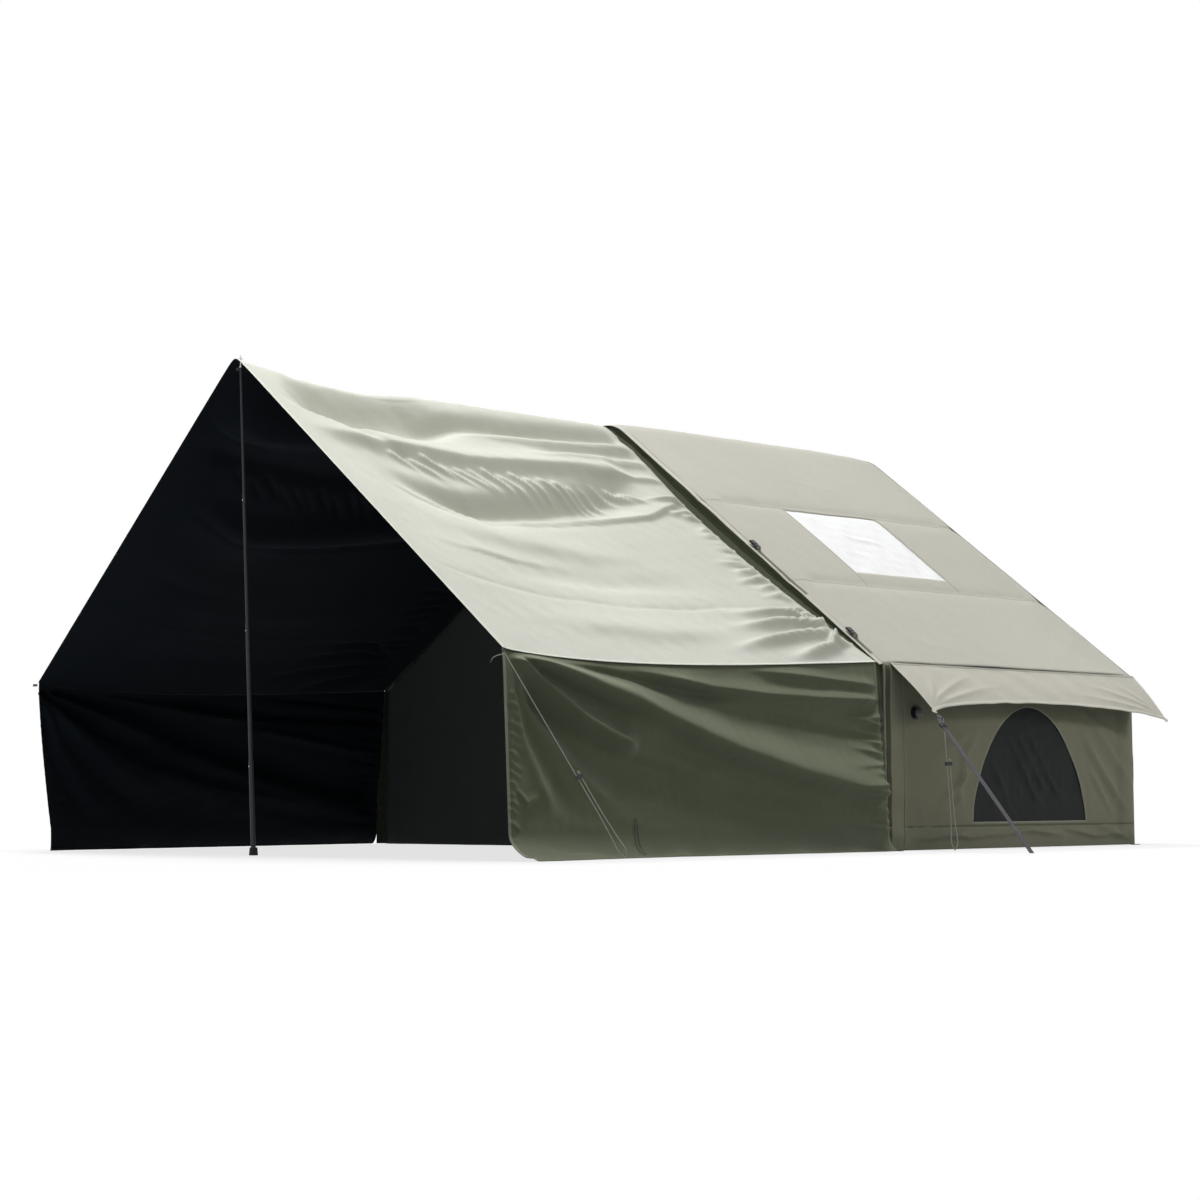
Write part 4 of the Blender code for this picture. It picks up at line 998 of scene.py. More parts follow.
class TENT_OT_guy_lines(bpy.types.Operator):
    """Add the two guy lines, their knots and their runners"""

    bl_idname = "tent.guy_lines"
    bl_label = "Guy lines"

    def execute(self, context):
        for word, (top, foot, runner_at) in (("front", FRONT_GUY), ("awning", AWNING_GUY)):
            name = f"{word}_guy"
            top, foot = from_front(top), from_front(foot)
            route, along, step, knot = guy_route(top, foot, runner_at)
            path = smooth_path(route, 260)
            mesh = cord_mesh(f"{name}_cord", path, CORD_DIAMETER, "guy_braid")
            cord = add_piece(mesh.name, mesh, replaces=[f"{name}_line"])
            end = knot + step * STRAND_SPACING + along * 0.0065
            mesh = stopper_knot(f"{name}_knot", end, along, 0.0034, "guy_braid")
            tied = [add_piece(mesh.name, mesh)]
            if word == "front":
                tied.append(hitch_tail(f"{name}_tail", top, along))
            tied.append(line_runner(name, knot, along, step, f"{word}_runner"))
            declare_cord(path)
        return {"FINISHED"}


class TENT_OT_wall_tie(bpy.types.Operator):
    """Add the cord loop that hangs from the porch wall"""

    bl_idname = "tent.wall_tie"
    bl_label = "Wall tie"

    def execute(self, context):
        path = smooth_path([from_front(point) for point in TIE_LOOP], 120)
        mesh = cord_mesh("wall_tie_cord", path, TIE_DIAMETER, "tie_braid", (0, 1, 0))
        cord = add_piece("wall_tie_cord", mesh, replaces=["wall_tie_loop"])
        declare_cord(path)
        return {"FINISHED"}


def ladder_lock(place):
    """Ladder lock: a frame with a cross bar and ribs that grip the webbing."""
    thing = bevelled_block("strap_ladder_lock", (0.038, 0.0098, 0.024), 0.0028, 4)
    box_cut(thing, (STRAP_WIDTH + 0.0016, 0.0036, 0.05), (0, 0, 0))
    for k in (-1, 1):
        box_cut(thing, (STRAP_WIDTH + 0.001, 0.02, 0.0052), (0, 0.008, k * 0.0056))
    return rigid_piece(thing, place, "slide", "strap_slide")


class TENT_OT_awning_strap(bpy.types.Operator):
    """Add the doubled webbing from the awning's corner to the ground, and its slide"""

    bl_idname = "tent.awning_strap"
    bl_label = "Awning strap"

    def execute(self, context):
        top, foot = (from_front(point) for point in STRAP_ROUTE)
        along = (foot - top).normalized()
        flat = along.cross(Vector(UPWARD)).normalized()
        out = flat.cross(along)
        path = np.array(tuple(top)) + np.linspace(0.0, 1.0, 150)[:, None] * np.array(foot - top)
        half = STRAP_WIDTH / 2
        profile = [
            (-half, -0.0009), (-half - 0.0003, 0.0), (-half, 0.0009), (-half + 0.002, 0.0011),
            (half - 0.002, 0.0011), (half, 0.0009), (half + 0.0003, 0.0), (half, -0.0009),
            (half - 0.002, -0.0011), (-half + 0.002, -0.0011),
        ]
        side, up = (np.tile(np.array(way), (len(path), 1)) for way in (flat, out))
        mesh = swept("awning_webbing", path, side, up, profile, "webbing")
        strap = add_piece("awning_webbing", mesh, replaces=["awning_strap"])
        slide = ladder_lock(placed(top + along * 0.045, flat, out, along))
        declare_cord(path)
        return {"FINISHED"}


# Rigid fittings


def pick(thing=None):
    """Selects one thing, or nothing."""
    bpy.ops.object.select_all(action="DESELECT")
    if thing:
        thing.select_set(True)
        bpy.context.view_layer.objects.active = thing


def block(size, centre=(0.0, 0.0, 0.0)):
    """A plain block, for joining or cutting."""
    pick()
    bpy.ops.mesh.primitive_cube_add(size=1.0, location=centre)
    thing = bpy.context.object
    thing.scale = size
    bpy.ops.object.transform_apply(location=False, rotation=False, scale=True)
    return thing


def round_edges(bevel, segments=3, size=(1.0, 1.0, 1.0)):
    """Gives the thing just made its size and rounds its edges."""
    bpy.ops.object.mode_set(mode="EDIT")
    bpy.ops.transform.resize(value=size)
    bpy.ops.mesh.bevel(offset=bevel, segments=segments)
    bpy.ops.object.mode_set(mode="OBJECT")


def bevelled_block(name, size, bevel, segments=3):
    pick()
    bpy.ops.mesh.primitive_cube_add(size=1.0)
    thing = bpy.context.object
    thing.name = name
    round_edges(bevel, segments, size)
    return thing


def disc(name, radius, depth, middle, vertices=48, turn=(0.0, 0.0, 0.0)):
    pick()
    bpy.ops.mesh.primitive_cylinder_add(
        vertices=vertices, radius=radius, depth=depth, location=middle, rotation=turn
    )
    thing = bpy.context.object
    thing.name = name
    return thing


def combine(thing, other, operation="UNION"):
    """Joins another thing to this one, or cuts it out."""
    pick(thing)
    tool = thing.modifiers.new("Tool", "BOOLEAN")
    tool.operation = operation
    tool.solver = "EXACT"
    tool.object = other
    bpy.ops.object.modifier_apply(modifier="Tool")
    bpy.data.objects.remove(other)


def drill(thing, centre, radius, turn=(0.0, 0.0, 0.0)):
    """Bores a round hole through thing."""
    combine(thing, disc("bore", radius, 0.06, centre, 24, turn), "DIFFERENCE")


def box_cut(thing, size, centre):
    """Cuts a square-edged pocket out of thing."""
    combine(thing, block(size, centre), "DIFFERENCE")


def placed(middle, *axes):
    """Matrix that takes a piece from the origin to a middle, with its axes along these."""
    return Matrix.Translation(middle) @ Matrix(axes).transposed().to_4x4()


def middle_of(node):
    low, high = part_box(node)
    return (low + high) / 2


def rigid_piece(thing, matrix, body, node, material="plastic"):
    """Places a piece modelled at the origin, and gives it its finish."""
    thing.data.transform(thing.matrix_world)
    thing.matrix_world = Matrix.Identity(4)
    thing.data.transform(matrix)
    thing.data.materials.clear()
    thing.data.materials.append(finish(material))
    pick(thing)
    bpy.ops.object.shade_smooth_by_angle(angle=math.radians(35))
    return settle(thing, body, [node])


# Porch canopy

SLOPE = 2.19
PORCH_DEPTH = 2.2

# Folds of one slope: path as (share of depth, share of slope), height, widths above and below,
# shares over which it comes and goes, sharpness
CANOPY_FOLDS = [
    ([(-0.02, 0.225), (0.18, 0.255), (0.44, 0.27), (0.7, 0.245), (0.92, 0.23)],
     0.04, 0.12, 0.055, (0.25, 0.1), 1.7),
    ([(0.1, 0.345), (0.2, 0.398), (0.33, 0.43), (0.54, 0.39), (0.75, 0.33), (0.9, 0.285)],
     -0.065, 0.07, 0.125, (0.3, 0.25), 2.1),
    ([(0.1, 0.375), (0.17, 0.407), (0.29, 0.462), (0.44, 0.471), (0.66, 0.442), (0.84, 0.4),
      (0.95, 0.345), (1.0, 0.31)], 0.017, 0.06, 0.013, (0.2, 0.08), 1.4),
    ([(0.06, 0.075), (0.13, 0.105), (0.2, 0.128), (0.35, 0.11), (0.52, 0.088)],
     -0.08, 0.19, 0.125, (0.22, 0.3), 2.1),
    ([(0.34, 0.098), (0.55, 0.092), (0.72, 0.084), (1, 0.066)],
     -0.04, 0.06, 0.062, (0.25, 0), 1.9),
    ([(0.45, 0.142), (0.62, 0.136), (0.8, 0.132), (1, 0.12)],
     0.016, 0.034, 0.024, (0.35, 0), 1.6),
    ([(0.62, 0.168), (0.82, 0.164), (1, 0.152)], -0.014, 0.026, 0.024, (0.4, 0), 1.7),
    ([(0.6, 0.206), (0.84, 0.196), (1, 0.184)], 0.015, 0.032, 0.02, (0.4, 0), 1.6),
    ([(0.72, 0.262), (0.86, 0.25), (1, 0.24)], 0.012, 0.026, 0.018, (0.4, 0), 1.6),
    ([(0.03, 0.15), (0.14, 0.195), (0.3, 0.225)], 0.014, 0.045, 0.03, (0.3, 0.4), 1.7),
    ([(0.02, 0.11), (0.1, 0.165), (0.22, 0.205)], -0.012, 0.022, 0.024, (0.3, 0.4), 1.8),
    ([(0.03, 0.06), (0.12, 0.15), (0.24, 0.29), (0.34, 0.42)],
     -0.01, 0.03, 0.05, (0.3, 0.4), 1.8),
    ([(0.09, 0.6), (0.28, 0.645), (0.42, 0.655)], 0.008, 0.06, 0.012, (0.4, 0.5), 1.4),
    ([(0.12, 0.5), (0.3, 0.56), (0.5, 0.59), (0.7, 0.58)],
     0.015, 0.11, 0.07, (0.4, 0.4), 2.0),
    ([(0.1, 0.85), (0.45, 0.885), (0.8, 0.88)], 0.014, 0.11, 0.07, (0.4, 0.4), 2.0),
    ([(0.15, 0.68), (0.5, 0.7), (0.85, 0.68)], -0.011, 0.08, 0.06, (0.4, 0.4), 2.0),
]
CANOPY_SEAM = [(0, 0.7), (0.1, 0.736), (0.27, 0.768), (0.47, 0.79), (0.61, 0.785),
               (0.78, 0.768), (1, 0.752)]
CLIP_PULL = (1.0, 0.875)
CLIP_WRINKLES = [
    ((0.88, 0.842), (0.66, 0.865)), ((0.85, 0.9), (0.58, 0.955)), ((0.9, 0.805), (0.7, 0.8)),
    ((0.92, 0.945), (0.74, 0.99)),
]


def slope_folds(u, s, shift=0.0):
    """Folds of one slope, over share of depth u and share of slope s."""
    a, b = u * PORCH_DEPTH + shift, s * SLOPE

    def crease(path, height, above, below, fade, sharp, grow=0.0):
        path = [(p * PORCH_DEPTH, q * SLOPE) for p, q in path]
        return fold(a, b, path, height, below, above, fade, sharp, grow)

    total = sum(crease(*row) for row in CANOPY_FOLDS)
    total += canopy_pleats(crease)
    for route in CLIP_WRINKLES:
        total += crease([CLIP_PULL, *route], 0.036, 0.034, 0.026, (0.12, 0.55), 1.6, 0.55)
    total += rear_gathers(crease)
    total += crease(CANOPY_SEAM, -0.0045, 0.022, 0.012, (0.0, 0.0), 1.2)
    return total + 0.0016 * rumple(a, b, 0.55, 3) + 0.0007 * rumple(a, b, 0.16, 4)


def canopy_pleats(crease):
    """Short slanting pleats in the hollow under the main crease."""
    total = 0.0
    draw = np.random.RandomState(11)
    for k in range(17):
        u = 0.2 + 0.038 * k
        top = 0.275 + 0.02 * math.sin(math.pi * (u - 0.1)) + draw.uniform(-0.008, 0.008)
        drop = 0.085 - 0.045 * abs(u - 0.45) / 0.45
        lean = 0.075 + draw.uniform(-0.012, 0.02)
        height = draw.uniform(0.012, 0.021)
        total += crease([(u, top), (u + lean, top + drop)], height, 0.015, 0.018, (0.25, 0.55), 1.6)
    return total


def rear_gathers(crease):
    """Small gathers where the canopy is sewn and clipped to the main tent."""
    total = 0.0
    draw = np.random.RandomState(5)
    for k in range(20):
        q = 0.33 + 0.031 * k + draw.uniform(-0.006, 0.006)
        reach, drift = draw.uniform(0.05, 0.16), draw.uniform(-0.012, 0.03)
        height = draw.uniform(0.013, 0.027)
        path = [(1.0, q), (1 - reach, q + drift)]
        total += crease(path, height, 0.019, 0.015, (0.0, 0.8), 1.7, 0.4)
    return total


def canopy_points(u, s):
    """Canopy surface over share of depth u and share of half width s, from -1 to 1."""
    far = np.abs(s)
    fall = (np.hypot(s, RIDGE_SOFT) - RIDGE_SOFT) / (math.hypot(1, RIDGE_SOFT) - RIDGE_SOFT)
    ridge, eave = porch_ridge(u), porch_eave(u)
    z = ridge - (ridge - eave) * fall - SLOPE_SAG * u ** 0.6 * np.sin(np.pi * far)
    hold = smooth_step(u / 0.1) * smooth_step((1 - far) / 0.025)
    hold = hold * (1 - 0.78 * smooth_step((u - 0.968) / 0.03))
    folds = np.where(s >= 0, slope_folds(u, far) * 1.25, slope_folds(u, far, 0.12))
    z = z + sizes().fold_depth * hold * folds
    z = z + 0.022 * bump(far, 0.14, 0.13) * smooth_step((u - 0.72) / 0.28)
    return points_at(s * blend_of(PORCH_HALF, u), porch_y(u, z), z)


def mark_steep(thing, points):
    """Marks where the sheet is steeper than the canopy's plain slope, from 0 to 1; the canvas
    paints shade there.
    """
    along, across = np.gradient(points, axis=0), np.gradient(points, axis=1)
    upright = unit(np.cross(across, along))[..., 2]
    steep = smooth_step((0.81 - np.abs(upright)) / 0.26)
    layer = thing.data.attributes.new("steep", "FLOAT", "POINT")
    layer.data.foreach_set("value", steep.reshape(-1).astype(np.float32))


class TENT_OT_porch_canopy(bpy.types.Operator):
    """Add the porch canopy as one sheet, with its hems and its long seams"""

    bl_idname = "tent.porch_canopy"
    bl_label = "Porch canopy"

    def execute(self, context):
        u = spaced(0.0, 1.0, 152, [(1.0, 0.14, 2.2), (0.45, 0.3, 1.5)])[:, None]
        near_pleats = [(side * 0.33, 0.1, 2.2) for side in (-1, 1)]
        near_clips = [(side * 0.8, 0.2, 1.5) for side in (-1, 1)]
        s = spaced(-1.0, 1.0, 321, near_pleats + near_clips)[None, :]
        points = canopy_points(u, s)
        canopy = cloth_piece(
            "porch_canopy_cloth", points, ("porch_canvas", "lining"), "porch_roof_cloth",
            ["porch_canopy"], flip=True,
        )
        mark_steep(canopy, points)
        hems = [
            trim(f"canopy_{word}_hem", *edge, "porch_hem", width, "porch_roof_cloth",
                 lining="lining")
            for word, edge, width in (
                ("front", points[[0, 2]], None),
                ("left", (points[:, 0], points[:, 2]), 0.012),
                ("right", (points[:, -1], points[:, -3]), 0.012),
            )
        ]
        declare_sheet(points)
        return {"FINISHED"}


# Porch walls

# Folds as (from the front, height) paths: push outwards, width above and below, fade, sharpness.
# Those that start at the front corner widen on their way, by the share in WALL_FAN.
WALL_FOLDS = [
    ([(0.0, 0.815), (0.19, 0.762), (0.397, 0.703), (0.609, 0.644), (0.784, 0.58), (0.993, 0.512),
      (1.239, 0.44), (1.559, 0.362), (1.893, 0.3), (2.206, 0.255)],
     0.098, 0.088, 0.044, (0.06, 0.05), 1.8),
    ([(0.0, 0.799), (0.149, 0.69), (0.354, 0.562), (0.522, 0.492), (0.702, 0.43)],
     0.07, 0.036, 0.024, (0.06, 0.16), 1.6),
    ([(0.02, 0.8), (0.2, 0.735), (0.41, 0.655), (0.609, 0.59), (0.75, 0.535)],
     -0.034, 0.024, 0.032, (0.08, 0.35), 1.9),
    ([(0.1, 0.8), (0.286, 0.772), (0.495, 0.748), (0.668, 0.722), (0.785, 0.704),
      (1.087, 0.676), (1.4, 0.655)], -0.036, 0.02, 0.026, (0.1, 0.3), 1.9),
    ([(0.6, 0.775), (0.815, 0.742), (1.087, 0.706), (1.402, 0.686), (1.73, 0.678),
      (2.215, 0.676)], 0.046, 0.03, 0.016, (0.2, 0.0), 1.6),
    ([(1.3, 0.79), (1.732, 0.768), (2.216, 0.737)], 0.026, 0.022, 0.012, (0.3, 0.0), 1.6),
    ([(1.1, 0.64), (1.465, 0.588), (1.897, 0.518), (2.247, 0.489)],
     -0.02, 0.022, 0.022, (0.3, 0.05), 1.9),
    ([(0.0, 0.78), (0.18, 0.6), (0.395, 0.47), (0.607, 0.395), (0.95, 0.31), (1.4, 0.235),
      (2.1, 0.13)], -0.044, 0.044, 0.09, (0.1, 0.4), 2.0),
    ([(0.7, 0.56), (0.993, 0.44), (1.239, 0.372), (1.559, 0.305), (1.893, 0.255)],
     -0.03, 0.03, 0.06, (0.25, 0.35), 2.0),
    ([(0.02, 0.72), (0.4, 0.4), (0.66, 0.285), (0.88, 0.2)],
     -0.026, 0.036, 0.06, (0.2, 0.4), 2.0),
    ([(0.8, 0.35), (1.4, 0.2), (2.1, 0.1)], 0.026, 0.08, 0.06, (0.4, 0.3), 2.0),
    ([(0.0, 0.79), (0.05, 0.5), (0.16, 0.28), (0.26, 0.15)],
     0.022, 0.034, 0.028, (0.1, 0.25), 1.7),
    ([(0.0, 0.79), (0.1, 0.5), (0.26, 0.26), (0.4, 0.12)],
     -0.02, 0.034, 0.04, (0.1, 0.3), 2.0),
    ([(0.0, 0.79), (0.18, 0.5), (0.44, 0.28), (0.66, 0.15)],
     0.018, 0.036, 0.036, (0.1, 0.3), 1.8),
    ([(0.02, 0.29), (0.08, 0.225), (0.15, 0.26)], 0.014, 0.014, 0.012, (0.3, 0.3), 1.6),
]
WALL_FAN = (0.15, 0.45)
WALL_SEAM_Z = 0.668


def wall_folds(across, z):
    """Outward push of the porch wall's folds, with across measured from the front."""
    total = 0.0
    for path, *shape in WALL_FOLDS:
        grow = WALL_FAN[1] if path[0][0] < WALL_FAN[0] else 0.0
        total += fold(across, z, path, *shape, grow)
    total *= 1 - 0.85 * smooth_step((across - 2.06) / 0.1)
    draw = np.random.RandomState(8)
    for k in range(13):
        height = 0.09 + 0.043 * k + draw.uniform(-0.008, 0.008)
        reach = draw.uniform(0.14, 0.32)
        path = [(2.17, height), (2.17 - reach, height + draw.uniform(-0.015, 0.045))]
        total += fold(across, z, path, draw.uniform(0.018, 0.032), 0.014, 0.016, (0.0, 0.8), 1.6)
    for k in range(15):
        height = 0.12 + 0.038 * k + draw.uniform(-0.008, 0.008)
        reach = draw.uniform(0.03, 0.09)
        path = [(0.0, height), (reach, height - 0.6 * reach)]
        total += fold(across, z, path, draw.uniform(0.006, 0.012), 0.01, 0.01, (0.0, 0.7), 1.6)
    seam = [(0.8, WALL_SEAM_Z + 0.012), (1.3, WALL_SEAM_Z), (2.24, WALL_SEAM_Z - 0.004)]
    total += fold(across, z, seam, -0.005, 0.006, 0.012, (0.1, 0.0), 1.3)
    return total + 0.0022 * rumple(across, z, 0.3, 21) + 0.0009 * rumple(across, z, 0.09, 22)


def wall_points(word, u, v):
    """Porch wall over share of depth u and share of drop v."""
    eave = porch_eave(u) - WALL_UNDER_EAVE
    half, base = blend_of(PORCH_HALF, u), blend_of(WALL_BASE[word], u)
    t = np.minimum(v / SKIRT_FROM, 1.0)
    z_wall = eave + (SKIRT_HEIGHT - eave) * t
    x_wall = half + (base - half) * t ** 1.5 - WALL_TUCK * (1 - t) ** 30
    turn = 0.5 * np.pi * np.clip((v - SKIRT_FROM) / (1 - SKIRT_FROM), 0.0, 1.0)
    z_skirt = SKIRT_HEIGHT - (SKIRT_HEIGHT - 0.004) * np.sin(turn)
    reach = SKIRT_REACH * (0.25 + SKIRT_FLARE[word] * bump(u, 0.0, 0.22))
    x_skirt = base + reach * (1 - np.cos(turn))
    z = np.where(v > SKIRT_FROM, z_skirt, z_wall)
    x = np.where(v > SKIRT_FROM, x_skirt, x_wall)
    y = porch_y(u, z)
    across = y - Y_FRONT
    if word == "left":
        across = across * 0.97 + 0.03
    ends_hold = smooth_step((Y_PORCH_REAR - y) / 0.03) * 0.6 + 0.4
    ends_hold = ends_hold * (smooth_step(u / 0.012) * 0.8 + 0.2)
    low_hold = smooth_step((z - 0.02) / 0.16)
    hold = low_hold * smooth_step((eave - z + 0.004) / 0.04) * ends_hold
    x = x + sizes().fold_depth * wall_folds(across, z) * hold
    lying = 1 - smooth_step(z / 0.1)
    ripple = 0.006 * np.maximum(rumple(across, x, 0.2, 31), -0.3)
    z = z + lying * np.maximum(ripple + 0.002, 0.0) * smooth_step((1 - v) / 0.03)
    return points_at(SIDES[word] * x, y, z)


class TENT_OT_porch_walls(bpy.types.Operator):
    """Add both porch walls with their folds, skirts, seam and light front edges"""

    bl_idname = "tent.porch_walls"
    bl_label = "Porch walls"

    def execute(self, context):
        u = spaced(0.0, 1.0, 281, [(1.0, 0.12, 2.2), (0.0, 0.06, 1.8)])[:, None]
        v = np.concatenate([np.linspace(0.0, SKIRT_FROM, 140), np.linspace(0.79, 1.0, 30)])[None, :]
        for word, side in SIDES.items():
            points = wall_points(word, u, v)
            wall = cloth_piece(
                f"{word}_porch_wall_cloth", points, ("porch_wall_canvas", "lining"),
                "porch_wall_cloth", [f"{word}_porch_wall"], flip=side > 0,
            )
            hems = [
                trim(f"{word}_wall_{end}_hem", *edge, material, width, "porch_wall_cloth",
                     (side, 0.0, 0.3), lining="lining")
                for end, edge, material, width in (
                    ("front", points[[0, 2]], "light_piping", 0.012),
                    ("rear", points[[-1, -3]], "wall_hem", 0.02),
                    ("foot", (points[:, -1], points[:, -3]), "wall_hem", 0.016),
                )
            ]
            declare_sheet(points)
        return {"FINISHED"}


# Main roof

# Drop of the roof's front hem, where the cloth rolls over the front arch
ROOF_ROLL = 0.01

ROOF_WRINKLES = [
    ([(0.8, 0.42), (1.35, 0.5)], 0.0025, 0.012, 0.012),
    ([(0.95, 0.5), (1.3, 0.53)], 0.002, 0.01, 0.01),
    ([(0.3, 1.6), (0.75, 1.72)], 0.0025, 0.03, 0.03),
    ([(1.4, 1.75), (1.9, 1.5)], 0.003, 0.035, 0.03),
]


def roof_relief(y, x):
    """Rise of the main roof's cloth: pillows between seams, drawn edges, a few wrinkles."""
    deep, far = y - ROOF_FRONT, np.abs(x)
    whole = ROOF_BACK - ROOF_FRONT
    rise = 0.01 * np.sin(np.pi * np.clip(deep / whole, 0, 1)) ** 0.5
    clear = 1.0
    for arch in ARCH_Y:
        clear = clear * (1 - 0.95 * np.exp(-(((y - arch) / 0.055) ** 4)))
    drawn = 0.01 * clear * (0.35 + 0.65 * smooth_step(deep / 0.25))
    for seam in SEAM_X:
        rise = rise - drawn * np.exp(-np.abs((far - seam) / 0.032) ** 1.2)
    between = (far > SEAM_X[0]) & (far < SEAM_X[1]) & (x > 0)
    for end in SKYLIGHT_Y:
        rise = rise - between * 0.003 * np.exp(-np.abs((y - end) / 0.012) ** 1.3)
    for row in ROOF_WRINKLES:
        rise = rise + fold(deep, far, *row, (0.3, 0.3), 1.7)
    for gap in (deep, whole - deep):
        rise = rise - ROOF_ROLL * np.clip(1 - gap / 0.13, 0, 1) ** 2
    return rise + 0.0014 * rumple(y, x, 0.7, 41) + 0.0005 * rumple(y, x, 0.2, 42)


def with_lines(start, end, count, lines):
    """Even steps from start to end that also pass through the given values."""
    steps = np.linspace(start, end, count)
    for value in lines:
        steps[np.argmin(np.abs(steps - value))] = value
    return steps


def roof_points(y, x):
    """Main roof surface over the given lines, with its relief along the normal."""
    round_part = np.arcsin(np.clip(np.abs(x) / RIDGE_ROUND, 0, 1))
    slope = np.where(np.abs(x) < ROUND_HALF, round_part, PITCH)
    rise = roof_relief(y, x) - 0.003
    return points_at(x + rise * np.sin(slope) * np.sign(x), y, roof_at(x) + rise * np.cos(slope))


def roof_seam(name, line, beside):
    return trim(name, line, beside, "roof_seam", 0.012, "roof_cloth", lift=0.0002)


class TENT_OT_main_roof(bpy.types.Operator):
    """Add the main roof with its seams, hems and the frame of the skylight"""

    bl_idname = "tent.main_roof"
    bl_label = "Main roof"

    def execute(self, context):
        lines = [side * x for side in (-1, 1) for x in (*SKYLIGHT_X, *SEAM_X)]
        x = with_lines(-HALF_WIDTH, HALF_WIDTH, 241, lines)[None, :]
        y = with_lines(ROOF_FRONT, ROOF_BACK, 131, SKYLIGHT_Y)[:, None]
        points = roof_points(y, x)
        in_x, in_y = (
            (steps[1:] + steps[:-1] > 2 * ends[0]) & (steps[1:] + steps[:-1] < 2 * ends[1])
            for steps, ends in ((x[0], SKYLIGHT_X), (y[:, 0], SKYLIGHT_Y))
        )
        roof = cloth_piece(
            "main_roof_cloth", points, ("roof_canvas", "room_lining"), "roof_cloth",
            ["main_roof"], keep=~(in_y[:, None] & in_x), flip=True,
        )
        made = [
            trim(f"roof_{end}_hem", *edge, "roof_hem", None, "roof_cloth")
            for end, edge in (("front", points[[0, 2]]), ("rear", points[[-1, -3]]))
        ]
        for word, side in SIDES.items():
            for place, seam in enumerate(SEAM_X):
                pair = roof_points(y, side * seam + np.array([[0.0, 0.01]]))
                made.append(roof_seam(f"{word}_roof_seam_{place + 1}", pair[:, 0], pair[:, 1]))
        across = np.linspace(SEAM_X[0] + 0.007, SEAM_X[1] - 0.007, 60)[None, :]
        for place, line in enumerate((SKYLIGHT_Y[0] - 0.009, SKYLIGHT_Y[1] + 0.009)):
            pair = roof_points(line + np.array([[0.0], [0.01]]), across)
            made.append(roof_seam(f"skylight_seam_{place + 1}", *pair))
        declare_sheet(
            points
        )
        return {"FINISHED"}


class TENT_OT_skylight(bpy.types.Operator):
    """Add the wrinkled film of the skylight"""

    bl_idname = "tent.skylight"
    bl_label = "Skylight"

    def execute(self, context):
        y = np.linspace(SKYLIGHT_Y[0] - 0.006, SKYLIGHT_Y[1] + 0.006, 90)[:, None]
        x = np.linspace(SKYLIGHT_X[0] - 0.005, SKYLIGHT_X[1] + 0.005, 80)[None, :]
        points = roof_points(y, x)
        a, b = y - SKYLIGHT_Y[0], x - SKYLIGHT_X[0]
        long, wide = SKYLIGHT_Y[1] - SKYLIGHT_Y[0], SKYLIGHT_X[1] - SKYLIGHT_X[0]
        inside = smooth_step(a / 0.06) * smooth_step((long - a) / 0.06)
        inside = inside * smooth_step(b / 0.05) * smooth_step((wide - b) / 0.05)
        fold_path = [(0.2, 0.14), (0.34, 0.2), (0.52, 0.22)]
        ripple = 0.0022 * rumple(a * 1.4, b, 0.2, 51) + 0.0012 * rumple(a, b, 0.07, 52)
        ripple = ripple + fold(a, b, fold_path, 0.006, 0.018, 0.012, (0.4, 0.4), 1.4)
        drop = 0.0022 - inside * ripple
        points[:, :, 2] -= drop * math.cos(PITCH)
        points[:, :, 0] -= drop * math.sin(PITCH)
        film = cloth_piece(
            "skylight_film_sheet", points, ("skylight_film", "skylight_film"), "skylight_film",
            ["skylight_film"], flip=True,
        )
        declare_sheet(points)
        return {"FINISHED"}


def porch_edge():
    """Just inside the porch's rear edge: up the left wall, over the canopy, down the right."""
    near = np.array([[0.9985]])
    drop = np.concatenate([[0.78] * 6, np.linspace(0.78, 0.02, 60)])[None, :]
    legs = []
    for word, side in SIDES.items():
        leg = wall_points(word, near, drop)[0] - np.array([side * 0.006, 0.0, 0.0])
        leg[:6, 2] = np.linspace(0.003, SKIRT_HEIGHT - 0.012, 6)
        legs.append(leg)
    over = canopy_points(near, np.linspace(-0.992, 0.992, 241)[None, :])[0]
    over[:, 2] -= 0.005
    return np.concatenate([legs[0], over, legs[1][::-1]])


def tent_edge():
    """Just inside the main tent's front edge, over the same number of points."""
    z = np.concatenate([np.linspace(0.003, 0.098, 6), np.linspace(0.11, 0.845, 60)])
    leg = points_at(WALL_PLANE - 0.004, Y_MAIN, z)
    x = np.linspace(-0.996, 0.996, 241) * HALF_WIDTH
    over = points_at(x, ROOF_FRONT + 0.009, roof_at(x) - 0.0085 - ROOF_ROLL)
    return np.concatenate([leg * np.array([-1.0, 1.0, 1.0]), over, leg[::-1]])


class TENT_OT_roof_gusset(bpy.types.Operator):
    """Add the pleated strip between the porch canopy and the main roof, dark with painted shade"""

    bl_idname = "tent.roof_gusset"
    bl_label = "Roof gusset"

    def execute(self, context):
        low, high = porch_edge(), tent_edge()
        share = np.linspace(0.0, 1.0, 25)[:, None]
        points = low[None] * (1 - share[..., None]) + high[None] * share[..., None]
        pleats = np.sin(share * 3 * 2 * np.pi) * np.minimum(share, 1 - share)
        room = np.linalg.norm(high - low, axis=1)[None, :]
        deep = 0.012 * np.sin(np.pi * share) + 0.16 * pleats * np.minimum(room, 0.05)
        points[:, :, 1] += deep * np.minimum(room / 0.03, 1.0)
        gusset = cloth_piece(
            "roof_gusset_cloth", points, ("gusset_cloth", "gusset_cloth"), "porch_wall_cloth"
        )
        declare_sheet(points)
        return {"FINISHED"}


# Awnings


